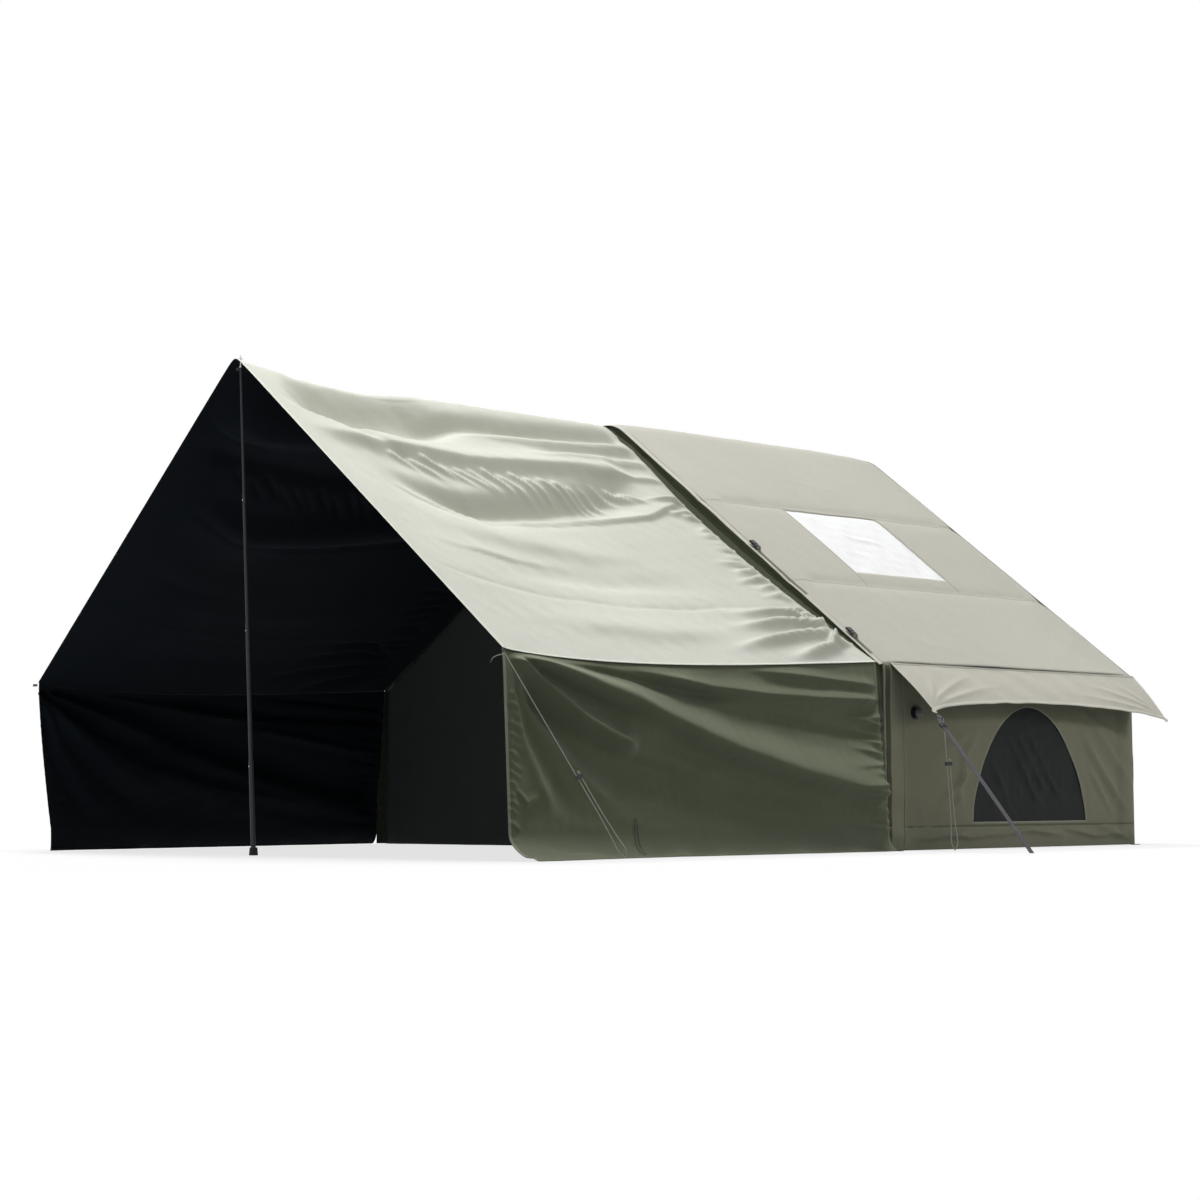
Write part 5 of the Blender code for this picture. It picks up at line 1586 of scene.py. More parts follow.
def awning_points(side, u, v):
    """Awning surface over share of its length u and share of its drop v."""
    down = v * (1 - AWNING_HOLLOW * np.sin(np.pi * u) ** 0.5 / AWNING_DROP)
    x = AWNING_START[0] + blend_of(AWNING_REACH, u) * down
    z = AWNING_START[1] - AWNING_DROP * down + 0.01 * np.sin(np.pi * down)
    a, b = u * AWNING_CLOTH[0], v * AWNING_CLOTH[1]
    lift = 0.0
    for start, end, height in (
        ((0.02, 0.32), (0.6, 0.05), 0.007), ((0.03, 0.33), (0.8, 0.16), 0.006),
        ((1.89, 0.3), (1.3, 0.08), 0.006), ((1.88, 0.32), (1.05, 0.2), 0.005),
        ((0.05, 0.3), (0.28, 0.02), 0.005), ((1.86, 0.28), (1.62, 0.03), 0.005),
    ):
        lift = lift + fold(a, b, [start, end], height, 0.022, 0.022, (0.2, 0.7), 1.7, 0.4)
    lift = (lift + 0.0015 * rumple(a, b, 0.25, 61)) * smooth_step(v / 0.15)
    return points_at(side * (x + lift * 0.66), blend_of(AWNING_Y, u), z + lift * 0.75)


class TENT_OT_awnings(bpy.types.Operator):
    """Add the side awnings with their hems"""

    bl_idname = "tent.awnings"
    bl_label = "Awnings"

    def execute(self, context):
        u = spaced(0.0, 1.0, 151, [(0.0, 0.07, 4.0), (1.0, 0.07, 4.0)])[:, None]
        v = np.linspace(0.0, 1.0, 41)[None, :]
        for word, side in SIDES.items():
            points = awning_points(side, u, v)
            awning = cloth_piece(
                f"{word}_awning_cloth", points, ("awning_canvas", "room_lining"), "roof_cloth",
                [f"{word}_awning"], flip=side > 0,
            )
            extras = [
                trim(f"{word}_{part}", *edge, material, width, "roof_cloth", lift=lift)
                for part, edge, material, width, lift in (
                    ("awning_hem", (points[:, -1], points[:, -3]), "roof_hem", 0.018, None),
                    ("awning_front_hem", points[[0, 2]], "roof_hem", 0.014, None),
                    ("awning_rear_hem", points[[-1, -3]], "roof_hem", 0.014, None),
                    ("eave_seam", (points[:, 1], points[:, 3]), "roof_seam", 0.014, 0.0004),
                )
            ]
            declare_sheet(points)
        return {"FINISHED"}


# Walls with openings


def window_outline(grow=0.0, steps=90):
    """Closed outline of the arched window, from the right end of its sill."""
    half, sill = WINDOW["half"] + grow, WINDOW["sill"] - grow
    rise = WINDOW["rise"] + 2 * grow
    turn = np.linspace(0.0, np.pi, 2 * steps + 1)
    across = np.sqrt(np.maximum(1 - np.sin(turn) ** WINDOW["lean"], 0.0)) * np.sign(np.cos(turn))
    arch = np.stack([WINDOW["middle"] + half * across, sill + rise * np.sin(turn)], axis=1)
    return np.concatenate([arch, np.linspace(arch[-1], arch[0], 61)[1:-1]])


def door_outline(steps=60):
    """Closed outline of the doorway."""
    turn = np.linspace(0.0, np.pi, 2 * steps + 1)
    rise = DOOR["top"] - DOOR["spring"]
    outline = np.stack([DOOR["half"] * np.cos(turn), DOOR["spring"] + rise * np.sin(turn)], axis=1)
    for corner, count in (
        ((-DOOR["half"], DOOR["sill"]), 61), ((DOOR["half"], DOOR["sill"]), 51), (outline[0], 61),
    ):
        outline = np.concatenate([outline, np.linspace(outline[-1], corner, count)[1:]])
    return outline[:-1]


def reach_border(centre, points, border):
    """Where the rays from centre through each point meet a closed convex border."""
    def turn(a, b):
        return a[0] * b[1] - a[1] * b[0]

    found = []
    for way in points - centre:
        for start, end in zip(border, border[1:] + border[:1]):
            edge, gap = np.subtract(end, start), np.subtract(start, centre)
            bottom = turn(way, edge)
            if abs(bottom) < 1e-12:
                continue
            t, k = turn(gap, edge) / bottom, turn(gap, way) / bottom
            if t > 0 and -1e-9 <= k <= 1 + 1e-9:
                found.append(centre + t * way)
                break
    found = np.array(found)
    for corner in border:
        found[np.argmin(np.linalg.norm(found - np.array(corner), axis=1))] = corner
    return found


def ringed(outline, centre, border, rings=34, hug=1.5):
    """Flat rings of points from an opening's outline out to the border, closed round."""
    outer = reach_border(np.array(centre), outline, border)
    t = (np.linspace(0.0, 1.0, rings) ** hug)[:, None, None]
    rows = outline[None] * (1 - t) + outer[None] * t
    return np.concatenate([rows, rows[:, :1]], axis=1)


WALL_PLANE = HALF_WIDTH - 0.0045
BAND_Z = 0.107
SIDE_WRINKLES = [
    ([(3.68, 0.58), (3.84, 0.39), (4.1, 0.13)], 0.016, 0.024, 0.016),
    ([(3.76, 0.64), (3.96, 0.44), (4.13, 0.27)], 0.012, 0.02, 0.014),
    ([(3.6, 0.7), (3.9, 0.58), (4.12, 0.42)], 0.01, 0.024, 0.016),
    ([(3.74, 0.4), (3.86, 0.26), (3.96, 0.14)], 0.009, 0.016, 0.012),
    ([(3.5, 0.76), (3.8, 0.7), (4.1, 0.58)], 0.007, 0.02, 0.014),
    ([(2.92, 0.6), (2.78, 0.44), (2.72, 0.24), (2.8, 0.13)], 0.011, 0.018, 0.014),
    ([(2.84, 0.42), (2.74, 0.31), (2.56, 0.2)], 0.012, 0.018, 0.014),
    ([(2.8, 0.28), (2.68, 0.2), (2.5, 0.15)], 0.01, 0.016, 0.012),
    ([(2.86, 0.56), (2.7, 0.5), (2.5, 0.4)], 0.008, 0.022, 0.016),
    ([(2.95, 0.74), (3.25, 0.77), (3.6, 0.73)], 0.006, 0.03, 0.018),
    ([(2.36, 0.05), (2.62, 0.06), (2.88, 0.1)], 0.013, 0.018, 0.012),
    ([(2.45, 0.085), (2.8, 0.055), (3.1, 0.075)], 0.012, 0.018, 0.012),
    ([(2.95, 0.055), (3.25, 0.085), (3.6, 0.05)], 0.012, 0.016, 0.012),
    ([(3.5, 0.095), (3.8, 0.05), (4.1, 0.065)], 0.014, 0.018, 0.012),
    ([(3.8, 0.105), (3.98, 0.06), (4.12, 0.025)], 0.013, 0.014, 0.012),
]


def side_push(y, z):
    """Outward push of a main side wall: the beam behind it, tension folds and its low band."""
    across = y - Y_FRONT
    beam = 0.0
    for middle in ARCH_Y:
        beam = beam + 0.014 * np.sqrt(np.clip(1 - ((y - middle) / 0.062) ** 2, 0.0, 1.0))
    push = beam * smooth_step((z - 0.02) / 0.05)
    for path, height, left, right in SIDE_WRINKLES:
        push = push + fold(across, z, path, 1.4 * height, left, right, (0.3, 0.35), 1.6)
    push = push - 0.004 * np.exp(-np.abs((z - BAND_Z) / 0.006) ** 1.4)
    push = push + 0.0018 * rumple(across, z, 0.28, 71) + 0.0007 * rumple(across, z, 0.09, 72)
    return push * smooth_step(z / 0.03) * smooth_step((EAVE_HEIGHT - z) / 0.03)


def side_wall_trims(word, side, points, first, last):
    """Piping round the window, the low band's seam, a front strip of painted shade and the beam's
    pipings.
    """
    def on_wall(y, z, out=0.0):
        return points_at(side * (WALL_PLANE + side_push(y, z) + out), y, z)

    y = np.linspace(first + 0.14, last - 0.002, 160)
    z = np.linspace(0.004, EAVE_HEIGHT - 0.012, 90)
    seam = (on_wall(y, BAND_Z), on_wall(y, BAND_Z + 0.01))
    # The front strip is a dark tape of painted shade, where the porch wall's rear edge shades the
    # main wall.
    strip = (on_wall(Y_MAIN + 0.019, z), on_wall(Y_MAIN + 0.029, z))
    made = [
        trim(f"{word}_{part}", *lines, material, width, "wall_cloth", (side, 0.0, 0.0), lift)
        for part, lines, material, width, lift in (
            ("window_piping", points[[0, 2]], "light_piping", 0.01, None),
            ("band_seam", seam, "wall_seam", 0.01, 0.0022),
            ("front_strip", strip, "gusset_cloth", 0.026, 0.0008),
        )
    ]
    for place, line in enumerate((Y_MAIN + 0.004, Y_MAIN + 0.128)):
        path = on_wall(line, z, 0.0012)
        mesh = swept(
            f"{word}_beam_piping_{place + 1}", path, *free_frame(path, (0.0, 1.0, 0.0)),
            round_profile(0.0028, 8), "light_piping",
        )
        made.append(add_piece(mesh.name, mesh))
    return made


def window_net(word, side):
    """Net of the window, a little slack, behind the wall's edge."""
    outline = window_outline(0.004)
    closed = np.concatenate([outline, outline[:1]])
    middle = np.array([WINDOW["middle"], WINDOW["sill"] + 0.22])
    t = np.linspace(1.0, 0.02, 40)[:, None]
    y, z = np.moveaxis(middle + (closed[None] - middle) * t[..., None], 2, 0)
    across = y - Y_FRONT
    push = 0.005 * rumple(across, z, 0.22, 81) + 0.003 * rumple(across, z, 0.08, 82)
    for line in ([(3.05, 0.62), (3.38, 0.16)], [(3.22, 0.62), (3.56, 0.18)],
                 [(2.95, 0.47), (3.14, 0.16)], [(3.14, 0.6), (3.44, 0.22)]):
        push = push + fold(across, z, line, 0.014, 0.02, 0.016, (0.3, 0.3), 1.6)
    slack = (1 - t ** 3) * (push * 0.5 - 0.002)
    points = points_at(side * (WALL_PLANE - 0.0035 + slack), y, z)
    net = cloth_piece(
        f"{word}_window_net", points, ("net", "net"), "window_screen",
        [f"{word}_window_mesh"], uv=np.stack([across, z], axis=2), flip=side > 0,
    )
    close_middle(net, points[-1])
    declare_wall(net)


class TENT_OT_side_walls(bpy.types.Operator):
    """Add the main side walls, with their windows' piping and screens"""

    bl_idname = "tent.side_walls"
    bl_label = "Side walls"

    def execute(self, context):
        top = EAVE_HEIGHT - 0.0015
        first, last = Y_MAIN - 0.004, Y_REAR - 0.0045
        border = [(first, 0.0015), (last, 0.0015), (last, top), (first, top)]
        centre = (WINDOW["middle"], WINDOW["sill"] + 0.2)
        y, z = np.moveaxis(ringed(window_outline(), centre, border), 2, 0)
        ends = smooth_step((y - first) / 0.02) * smooth_step((last - y) / 0.02)
        uv = np.stack([y - first, z], axis=2)
        for word, side in SIDES.items():
            points = points_at(side * (WALL_PLANE + side_push(y, z) * ends), y, z)
            wall = cloth_piece(
                f"{word}_side_wall_cloth", points, ("wall_canvas", "room_lining"), "wall_cloth",
                [f"{word}_side_wall"], uv=uv, flip=side < 0,
            )
            trims = side_wall_trims(word, side, points, first, last)
            declare_wall(wall)
            window_net(word, side)
        return {"FINISHED"}


def close_middle(thing, ring):
    """Fills the small hole left in the middle of a ringed sheet."""
    centre = Vector(ring.mean(axis=0))
    reach = float(np.linalg.norm(ring - ring.mean(axis=0), axis=1).max()) * 1.02 + 1e-5
    with editing(thing.data) as shape:
        weld(shape)
        loop = [
            edge for edge in shape.edges
            if edge.is_boundary and all((vert.co - centre).length < reach for vert in edge.verts)
        ]
        made = bmesh.ops.holes_fill(shape, edges=loop)
        layer = shape.loops.layers.uv.active
        for face in made["faces"]:
            face.smooth = True
            for corner in face.loops:
                corner[layer].uv = corner.vert.co.yz
        bmesh.ops.recalc_face_normals(shape, faces=made["faces"])


def declare_wall(thing):
    """Joins the first and last columns of a ringed sheet."""
    with editing(thing.data) as shape:
        weld(shape)


def gable_border(leg, drop, steps=10):
    """Closed convex outline under the roof, from the right foot round."""
    x = np.linspace(leg, -leg, 2 * steps + 1)
    top = zip(x.tolist(), (roof_at(x) - drop / math.cos(PITCH)).tolist())
    return [(leg, 0.0015), *top, (-leg, 0.0015)]


def add_rear_wall():
    """Rear gable: one sheet with a seam down its middle and a low band."""
    steps = 161
    x = np.linspace(-(HALF_WIDTH - 0.007), HALF_WIDTH - 0.007, steps)[:, None]
    top = roof_at(x) - 0.0065 / math.cos(PITCH)
    z = 0.0015 + (top - 0.0015) * np.linspace(0.0, 1.0, 90)[None, :]
    push = 0.003 * rumple(x, z, 0.5, 95) + 0.0012 * rumple(x, z, 0.15, 96)
    push = push + 0.012 * np.sqrt(np.clip(1 - ((np.abs(x) - 1.72) / 0.06) ** 2, 0, 1))
    for side in (-1, 1):
        for path in ([(1.7, 0.8), (0.9, 0.25)], [(1.66, 0.7), (1.2, 0.2)],
                     [(1.55, 0.95), (0.4, 0.5)]):
            path = [(side * across, height) for across, height in path]
            push = push + fold(x, z, path, 0.006, 0.04, 0.04, (0.2, 0.6), 1.8, 0.4)
    for gap in (x, z - BAND_Z):
        push = push - 0.004 * np.exp(-np.abs(gap / 0.008) ** 1.3)
    push = push * smooth_step(z / 0.04) * smooth_step((top - z) / 0.05)
    points = points_at(x, Y_REAR - 0.0012 + np.clip(push, -0.0005, 0.012), z)
    wall = cloth_piece(
        "rear_wall_cloth", points, ("wall_canvas", "room_lining"), "wall_cloth",
        ["rear_wall"], flip=True,
    )
    column = steps // 2
    seam = trim("rear_wall_seam", *points[[column, column + 2]], "wall_seam", 0.012,
                "wall_cloth", (0.0, 1.0, 0.0), 0.001)
    declare_wall(wall)


class TENT_OT_end_walls(bpy.types.Operator):
    """Add the wall between porch and room, with its doorway, and the rear wall"""

    bl_idname = "tent.end_walls"
    bl_label = "End walls"

    def execute(self, context):
        border = gable_border(HALF_WIDTH - 0.007, 0.0065)
        x, z = np.moveaxis(ringed(door_outline(), (0.0, 0.85), border, 30, 1.3), 2, 0)
        inside = smooth_step(np.minimum(np.abs(x) - DOOR["half"], 0.2) / 0.2 + 0.4)
        y = Y_MAIN + 0.001 + 0.003 * inside * np.minimum(rumple(x, z, 0.5, 91), 0.3)
        points = points_at(x, y, z)
        wall = cloth_piece(
            "front_wall_cloth", points, ("inner_canvas", "room_lining"), "inner_cloth",
            ["front_wall"], uv=np.stack([x, z], axis=2),
        )
        binding = trim("doorway_binding", *points[[0, 2]], "inner_canvas", 0.016, "inner_cloth",
                       (0.0, -1.0, 0.0))
        declare_wall(wall)
        add_rear_wall()
        return {"FINISHED"}


def door_leaf(word, side, body):
    gap, low = 0.003, DOOR["sill"] + 0.003
    half, rise = DOOR["half"] - gap, DOOR["top"] - DOOR["spring"] - gap
    x = np.linspace(gap / 2, half, 70)[:, None]
    top = DOOR["spring"] + rise * np.sqrt(np.clip(1 - (x / half) ** 2, 0.0, 1.0))
    z = low + (top - low) * np.linspace(0.0, 1.0, 140)[None, :]
    hold = 1.0
    for inset in (x - gap / 2, half - x, z - low, top - z):
        hold = hold * smooth_step(inset / 0.03)
    push = 0.0035 * rumple(x * side, z, 0.28, 101) + 0.0012 * rumple(x, z, 0.08, 102)
    points = points_at(side * x, Y_MAIN - 0.0004 - hold * np.clip(push, -0.001, 0.007), z)
    leaf = cloth_piece(
        f"{word}_door_cloth", points, ("inner_canvas", "room_lining"), "inner_cloth",
        [f"{word}_door_leaf"], body=body, flip=side < 0,
    )
    tape = trim(f"{word}_zip_tape", *points[[1, 3]], "zip_tape", 0.014, "inner_cloth",
                (0.0, -1.0, 0.0), 0.0012, body)
    coil = zip_coil(f"{word}_zip_coil", side, body, low, float(top[0, 0]))
    declare_wall(leaf)


def zip_coil(name, side, body, low, high):
    """Zip coil: teeth like short bars along the meeting edge."""
    pitch = 0.004
    size = Matrix.Diagonal((0.004, 0.0014, 0.0018, 1.0))
    mesh = bpy.data.meshes.new(name)
    with editing(mesh) as shape:
        for k in range(int((high - low - 0.05) / pitch)):
            z = low + 0.02 + k * pitch + (0.0 if side > 0 else pitch / 2)
            middle = Matrix.Translation((side * 0.0026, Y_MAIN - 0.0022, z))
            bmesh.ops.create_cube(shape, size=1.0, matrix=middle @ size)
    mesh.materials.append(finish("plastic"))
    return add_piece(name, mesh, body)


def zip_slider():
    """Zip slider: a waisted body with a pull tab hanging from its bridge."""
    body = bevelled_block("zip_slider_body", (0.0105, 0.0036, 0.012), 0.0012)
    pick()
    bpy.ops.mesh.primitive_torus_add(
        major_radius=0.0058, minor_radius=0.0009, major_segments=32, minor_segments=8,
        location=(0.0, -0.0012, -0.0045), rotation=(math.pi / 2, 0.0, 0.0),
    )
    combine(body, bpy.context.object)
    middle = middle_of("door_zip_slider") + Vector((0, 0.0004, 0.004))
    rigid_piece(body, Matrix.Translation(middle), "zip_slider", "door_zip_slider", "plated")


class TENT_OT_door_leaves(bpy.types.Operator):
    """Add the two cloth door leaves with their zip tapes, coils and slider"""

    bl_idname = "tent.door_leaves"
    bl_label = "Door leaves"

    def execute(self, context):
        for word, side in SIDES.items():
            door_leaf(word, side, f"{word}_door")
        zip_slider()
        return {"FINISHED"}


# Beams, floor and fittings of the main tent


def rounded(corner, before, after, radius, steps):
    """Arc that rounds a corner between two other points."""
    corner, before, after = (np.array(point) for point in (corner, before, after))
    into, out = unit(before - corner), unit(after - corner)
    half = math.acos(float(np.clip(into @ out, -1, 1))) / 2
    middle = corner + unit(into + out) * (radius / math.sin(half))
    first = corner + into * (radius / math.tan(half)) - middle
    last = corner + out * (radius / math.tan(half)) - middle
    sweep = math.acos(float(np.clip(first @ last / radius ** 2, -1, 1)))
    t = np.linspace(0, 1, steps)[:, None]
    return middle + (np.sin((1 - t) * sweep) * first + np.sin(t * sweep) * last) / math.sin(sweep)


def arch_path(y, foot, inset=0.076, leg_x=1.7175, bend=0.25):
    """Line of an arch beam in its plane, up one leg, over the ridge and down."""
    peak = PEAK - inset / math.cos(PITCH)
    leg_top = peak - leg_x * math.tan(PITCH)
    leg = np.linspace((leg_x, foot), (leg_x, leg_top - 0.14), 14)
    eave = rounded((leg_x, leg_top), (leg_x, 0.0), (0.0, peak), bend, 10)
    top = rounded((0.0, peak), (leg_x, leg_top), (-leg_x, leg_top), RIDGE_ROUND - inset, 18)
    right = np.concatenate([leg, eave, np.linspace(eave[-1], top[0], 24)[1:-1]])
    x, z = np.concatenate([right, top, right[::-1] * np.array([-1.0, 1.0])]).T
    return points_at(x, y, z)


def crimp(piece, y):
    """Fine creases round the tube where it bends."""
    points = np.zeros(len(piece.data.vertices) * 3)
    piece.data.vertices.foreach_get("co", points)
    points = points.reshape(-1, 3)
    ripple = 0.0007 * rumple(points[:, 0] * 3, points[:, 2] * 3, 0.16, 111)
    points[:, 1] = y + (points[:, 1] - y) * (1 + ripple / 0.06)
    piece.data.vertices.foreach_set("co", points.reshape(-1))
    piece.data.update()


def cross_tube(name):
    """Inflated cross tube with a domed weld at each end."""
    low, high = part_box(name)
    middle = (low + high) / 2
    t = np.linspace(-1.0, 1.0, 90)[:, None]
    turn = np.linspace(0, 2 * np.pi, 33)[None, :]
    dome = np.sqrt(np.clip(1 - (np.maximum(np.abs(t) - 0.955, 0) / 0.046) ** 2, 0.02, 1))
    size = (high.x - low.x) / 2 * 0.985 * dome
    points = points_at(
        middle.x + size * np.cos(turn), middle.y + t * ((high.y - low.y) / 2 - 0.001),
        middle.z + size * np.sin(turn),
    )
    mesh = grid_mesh(f"{name}_film", points, materials=("tube_film",))
    add_piece(mesh.name, mesh, replaces=[name])
    with editing(mesh) as shape:
        weld(shape)
        bmesh.ops.holes_fill(shape, edges=[edge for edge in shape.edges if edge.is_boundary])
        face_out(shape)
    mesh.shade_smooth()


class TENT_OT_beams(bpy.types.Operator):
    """Add the arch sleeves and the air tubes"""

    bl_idname = "tent.beams"
    bl_label = "Beams"

    def execute(self, context):
        for word in ("front", "rear"):
            y = middle_of(f"{word}_arch_air_tube").y
            for material, node, slot, radius, foot in (
                ("tube_film", "air_tube", "air_tube", 0.0612, 0.004),
                ("sleeve_cloth", "sleeve", "tube_sleeve", 0.0665, 0.0055),
            ):
                path = arch_path(y, foot)
                side = np.tile(np.array([0.0, 1.0, 0.0]), (len(path), 1))
                up = np.cross(side, tangents(path))
                mesh = swept(f"{word}_arch_{material}", path, side, up,
                             round_profile(radius, 28), material)
                piece = add_piece(mesh.name, mesh, replaces=[f"{word}_arch_{node}"])
                crimp(piece, y)
        for name in ("ridge_air_tube", "left_eave_air_tube", "right_eave_air_tube"):
            cross_tube(name)
        return {"FINISHED"}


class TENT_OT_groundsheet(bpy.types.Operator):
    """Add the floor sheet with its raised lip and corner folds"""

    bl_idname = "tent.groundsheet"
    bl_label = "Groundsheet"

    def execute(self, context):
        low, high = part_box("groundsheet")
        lip = high.z - 0.002
        half, first, last = high.x - 0.002, low.y + 0.002, high.y - 0.002
        s = np.linspace(-1.0, 1.0, 121)

        def folded(flat_half):
            """Position and rise of a sheet that turns up at both ends."""
            run = np.abs(s) * (flat_half + lip)
            return np.sign(s) * np.minimum(run, flat_half), np.maximum(run - flat_half, 0.0)

        x, rise_x = folded(half)
        y, rise_y = folded((last - first) / 2)
        x, y = x[:, None], y[None, :] + (first + last) / 2
        rise = np.maximum(rise_x[:, None], rise_y[None, :])
        ruffle = np.maximum(0.0022 + 0.0016 * rumple(x, y, 0.45, 121), 0.0016)
        points = points_at(x, y, np.maximum(rise, ruffle))
        mesh = grid_mesh("floor_sheet_cloth", points, materials=("floor_coat", "floor_coat"))
        floor = add_piece(mesh.name, mesh, replaces=["groundsheet"])
        thicken(floor, 0.001)
        declare_sheet(points)
        return {"FINISHED"}


def apex_cord():
    """Short cord tied round the pin under the canopy's peak."""
    low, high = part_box("pole_top_tube")
    centre = Vector(((low.x + high.x) / 2, low.y + 0.007, high.z - 0.01))
    knot = stopper_knot("apex_knot", centre + Vector((-0.012, -0.008, 0.004)),
                        Vector((-0.7, -0.3, -0.5)).normalized(), 0.005, "tie_braid")
    add_piece("apex_knot", knot, "pole_top")


class TENT_OT_pole(bpy.types.Operator):
    """Finish the pole's tubes, foot, pin and buttons, and the canopy's eyelet"""

    bl_idname = "tent.pole"
    bl_label = "Pole"

    def execute(self, context):
        buttons = [f"pole_snap_button_{k}" for k in (1, 2, 3)]
        for material, names in (
            ("steel", [f"pole_{part}_tube" for part in ("bottom", "lower", "upper", "top")]),
            ("plated", ["pole_top_pin", "canopy_eyelet", *buttons]),
            ("rubber", ["pole_foot"]),
        ):
            for name in names:
                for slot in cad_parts[name].material_slots:
                    slot.material = finish(material)
        apex_cord()
        return {"FINISHED"}


def valve_housing():
    """Flange, threaded ring with grip ribs, and the neck into the wall."""
    thing = disc("valve_housing", 0.0338, 0.0042, (0, 0, -0.0145))
    combine(thing, disc("ring", 0.0235, 0.012, (0, 0, -0.0074)))
    combine(thing, disc("neck", 0.0198, 0.04, (0, 0, -0.0365)))
    for k in range(24):
        turn = 2 * math.pi * k / 24
        place = (0.0238 * math.cos(turn), 0.0238 * math.sin(turn), -0.0074)
        combine(thing, disc("rib", 0.0011, 0.011, place, 8))
    return thing


def valve_lid():
    """Screw cap with a raised grip bar and a hinge tab."""
    thing = disc("valve_lid", 0.0262, 0.005, (0, 0, 0.003))
    round_edges(0.0012)
    combine(thing, block((0.005, 0.038, 0.0028), (0, 0, 0.0058)))
    combine(thing, block((0.008, 0.01, 0.0022), (-0.0285, 0, 0.0016)))
    return thing


class TENT_OT_valve(bpy.types.Operator):
    """Add the filling valve with its ribbed ring, and its hinged cap"""

    bl_idname = "tent.valve"
    bl_label = "Valve"

    def execute(self, context):
        face = middle_of("valve_cap")
        face.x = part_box("valve_cap")[0].x
        place = Matrix.Translation(face) @ Matrix.Rotation(math.pi / 2, 4, "Y")
        rigid_piece(valve_housing(), place, "tent", "valve_body")
        rigid_piece(valve_lid(), place, "cap", "valve_cap")
        return {"FINISHED"}


SOCKET_SIZE = (0.03, 0.034, 0.011)
PRONG_MIDDLE = SOCKET_SIZE[1] / 2 + 0.0098


def clip_socket(name, place):
    """Socket with its mouth, side windows for the latches and a bar for the webbing."""
    thing = bevelled_block(f"{name}_clip_shell", SOCKET_SIZE, 0.0028)
    box_cut(thing, (0.0222, 0.034, 0.006), (0, 0.01, 0))
    box_cut(thing, (0.04, 0.011, 0.0054), (0, 0.004, 0))
    box_cut(thing, (0.021, 0.0034, 0.03), (0, -0.012, 0))
    rigid_piece(thing, place, "tent", f"{name}_clip_socket")


def clip_prong(name, place):
    """Grip plate with a slot for the webbing, and two sprung arms."""
    thing = bevelled_block(f"{name}_clip_arms", (0.026, 0.0176, 0.0088), 0.0022)
    box_cut(thing, (0.0202, 0.004, 0.03), (0, 0.004, 0))
    for k in (-1, 1):
        arm = bevelled_block("arm", (0.004, 0.02, 0.0036), 0.0008)
        arm.location = (k * 0.0078, -0.015, 0.0)
        pick(arm)
        bpy.ops.object.transform_apply(location=True, rotation=False, scale=False)
        combine(thing, arm)
    middle = place @ Matrix.Translation((0.0, PRONG_MIDDLE, 0.0))
    rigid_piece(thing, middle, f"{name}_prong", f"{name}_clip_prong")


def clip_strap(name, middle, down, out, run):
    """Webbing from the slot in the clip's prong, over its bar and flat down the roof's hem.
    """
    slot, end = 0.0306, 0.046 + run
    along = np.concatenate([
        slot + np.array([0.0, 0.0002, 0.0006, 0.0014, 0.0028, 0.0042, 0.0056, 0.007]),
        np.linspace(slot + 0.009, slot + 0.029, 11),
        np.linspace(slot + 0.033, end, 60),
    ])
    outward = np.array(tuple(out))
    path = roof_points(np.array([[middle.y]]), (middle.x + down.x * along)[None, :])[0]
    path = path + 0.0012 * outward
    bar = 0.0054 * smooth_step((along - slot) / 0.0024)
    lift = np.dot(np.array(tuple(middle)) - path, outward) + bar
    path = path + (lift * (1 - smooth_step((along - slot - 0.006) / 0.02)))[:, None] * outward
    side = np.tile(np.array(tuple(down.cross(out))), (len(path), 1))
    up = np.cross(side, tangents(path))
    webbing = add_object(f"{name}_clip_webbing", swept(
        f"{name}_clip_webbing", path, side, up, flat_profile(0.019, 0.0012), "clip_webbing"
    ))
    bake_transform(webbing)


class TENT_OT_clips(bpy.types.Operator):
    """Add the side-release clips on the roof's hem, with their webbing"""

    bl_idname = "tent.clips"
    bl_label = "Clips"

    def execute(self, context):
        for word, side in SIDES.items():
            down = Vector((side * math.cos(PITCH), 0.0, -math.sin(PITCH)))
            out = Vector((side * math.sin(PITCH), 0.0, math.cos(PITCH)))
            for level, run in (("upper", 0.38), ("lower", 0.12)):
                name = f"{word}_{level}"
                middle = middle_of(f"{name}_clip_socket")
                place = placed(middle, down.cross(out), down, out)
                clip_socket(name, place)
                clip_prong(name, place)
                clip_strap(name, middle, down, out, run)
        return {"FINISHED"}


def peg_loop(node):
    """Webbing folded on itself into a flat loop with rounded ends."""
    low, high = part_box(node)
    middle, half = (low + high) / 2, (high - low) / 2
    turn = np.linspace(0, 2 * np.pi, 73)
    x, y = (np.sign(way) * np.abs(way) ** 0.5 for way in (np.cos(turn), np.sin(turn)))
    path = points_at(
        middle.x + (half.x - 0.004) * x, middle.y + (half.y - 0.004) * y, middle.z
    )
    out = points_at(np.cos(turn), np.sin(turn), 0.0)
    up = np.tile(np.array(UPWARD), (len(turn), 1))
    profile = flat_profile(0.008, 2 * half.z - 0.0002)
    mesh = swept(f"{node}_webbing", path, out, up, profile, "webbing")
    add_piece(mesh.name, mesh, replaces=[node])
    with editing(mesh) as shape:
        ends = sorted(shape.faces, key=lambda face: face.index)[-2:]
        bmesh.ops.delete(shape, geom=ends, context="FACES_ONLY")
        weld(shape, 1e-5)
        face_out(shape)


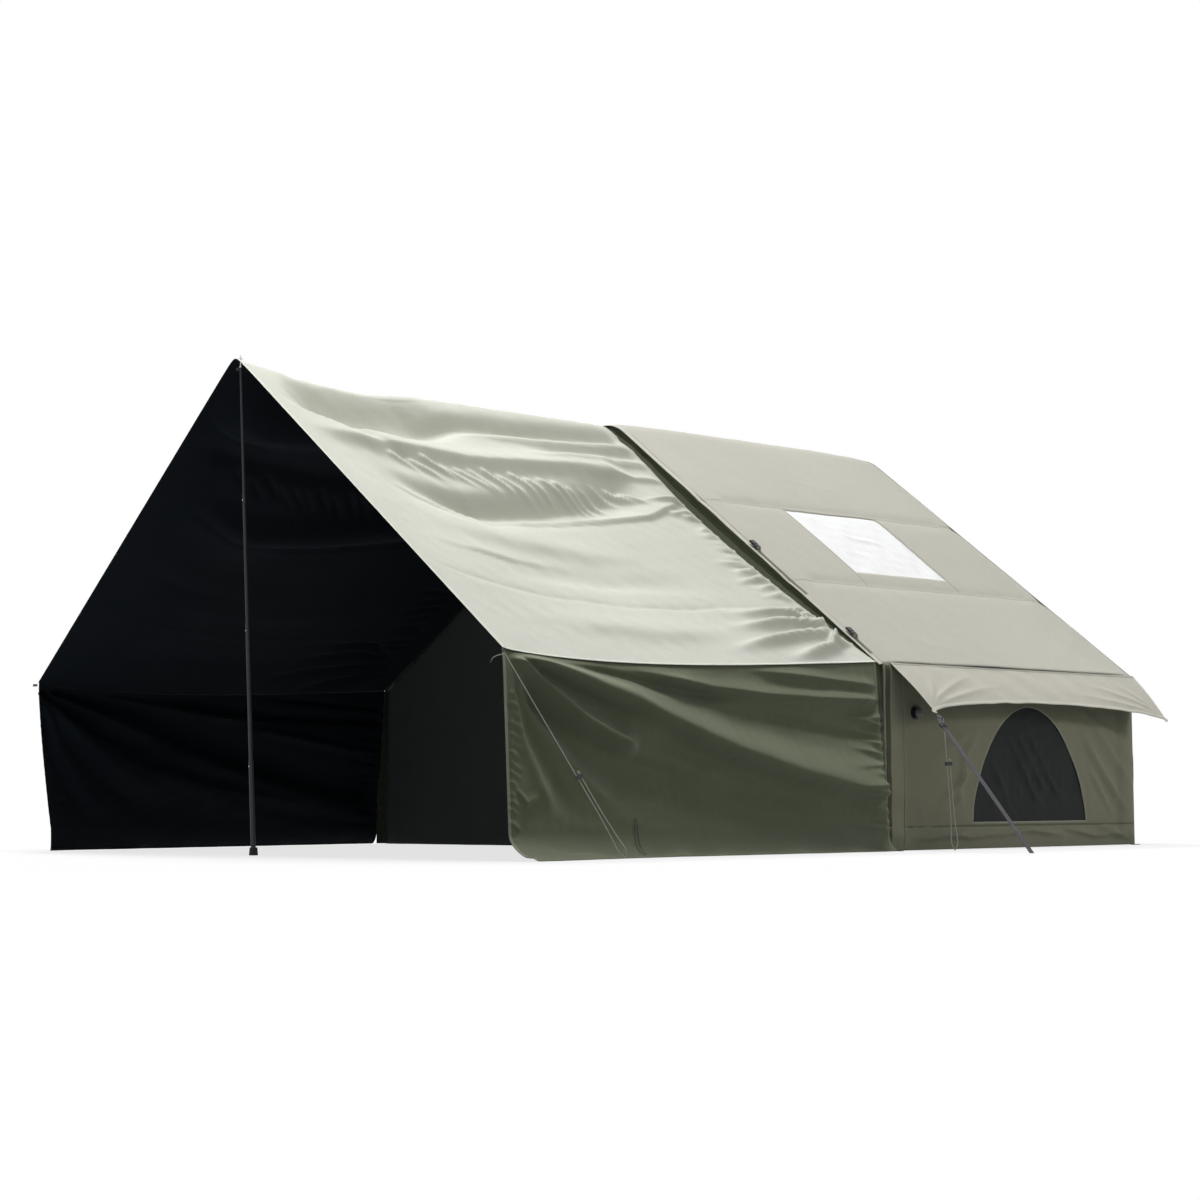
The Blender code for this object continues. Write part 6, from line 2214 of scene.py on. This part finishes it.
def webbing_tab(node):
    """Doubled webbing tab with a rounded end."""
    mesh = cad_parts[node].data.copy()
    mesh.materials.clear()
    mesh.materials.append(finish("webbing"))
    thing = add_object(f"{node}_webbing", mesh)
    with editing(mesh) as shape:
        weld(shape)
        bmesh.ops.dissolve_limit(shape, angle_limit=0.02, verts=shape.verts, edges=shape.edges)
        bmesh.ops.bevel(shape, geom=list(shape.edges), offset=0.0007, segments=2,
                        affect="EDGES")
    settle(thing, "tent", [node])


class TENT_OT_webbing(bpy.types.Operator):
    """Add the peg loops and the webbing tabs that hold the lines"""

    bl_idname = "tent.webbing"
    bl_label = "Webbing"

    def execute(self, context):
        for end in ("front", "rear"):
            for side in SIDES:
                peg_loop(f"{end}_{side}_peg_loop")
        for side in SIDES:
            for kind in ("eave", "awning"):
                webbing_tab(f"{side}_{kind}_tab")
        return {"FINISHED"}


class TENT_PT_panel(bpy.types.Panel):
    """Lists the tent's pieces and their settings"""

    bl_label = "Tent"
    bl_idname = "TENT_PT_panel"
    bl_space_type = "VIEW_3D"
    bl_region_type = "UI"
    bl_category = "Tent"

    def draw(self, context):
        column = self.layout.column(align=True)
        for operator in OPERATORS:
            column.operator(operator.bl_idname)
        for group in (context.scene.tent_sizes, context.scene.tent_colours,
                      context.scene.tent_stage):
            box = self.layout.box()
            for name in group.bl_rna.properties.keys():
                if name not in ("rna_type", "name"):
                    box.prop(group, name)


OPERATORS = (
    TENT_OT_stage, TENT_OT_guy_lines, TENT_OT_wall_tie, TENT_OT_awning_strap,
    TENT_OT_porch_canopy, TENT_OT_porch_walls, TENT_OT_main_roof, TENT_OT_skylight,
    TENT_OT_roof_gusset, TENT_OT_awnings, TENT_OT_side_walls, TENT_OT_end_walls,
    TENT_OT_door_leaves, TENT_OT_beams, TENT_OT_groundsheet, TENT_OT_pole, TENT_OT_valve,
    TENT_OT_clips, TENT_OT_webbing,
)
GROUPS = {"tent_sizes": TentSizes, "tent_colours": TentColours, "tent_stage": TentStage}
CLASSES = (*GROUPS.values(), *OPERATORS, TENT_PT_panel)


def register():
    for item in CLASSES:
        bpy.utils.register_class(item)
    for name, group in GROUPS.items():
        setattr(bpy.types.Scene, name, PointerProperty(type=group))


def unregister():
    for name in GROUPS:
        delattr(bpy.types.Scene, name)
    for item in reversed(CLASSES):
        bpy.utils.unregister_class(item)


def main():
    register()
    for operator in OPERATORS:
        _, name = operator.bl_idname.split(".")
        getattr(bpy.ops.tent, name)()
    bpy.context.view_layer.update()


if __name__ == "__main__":
    main()
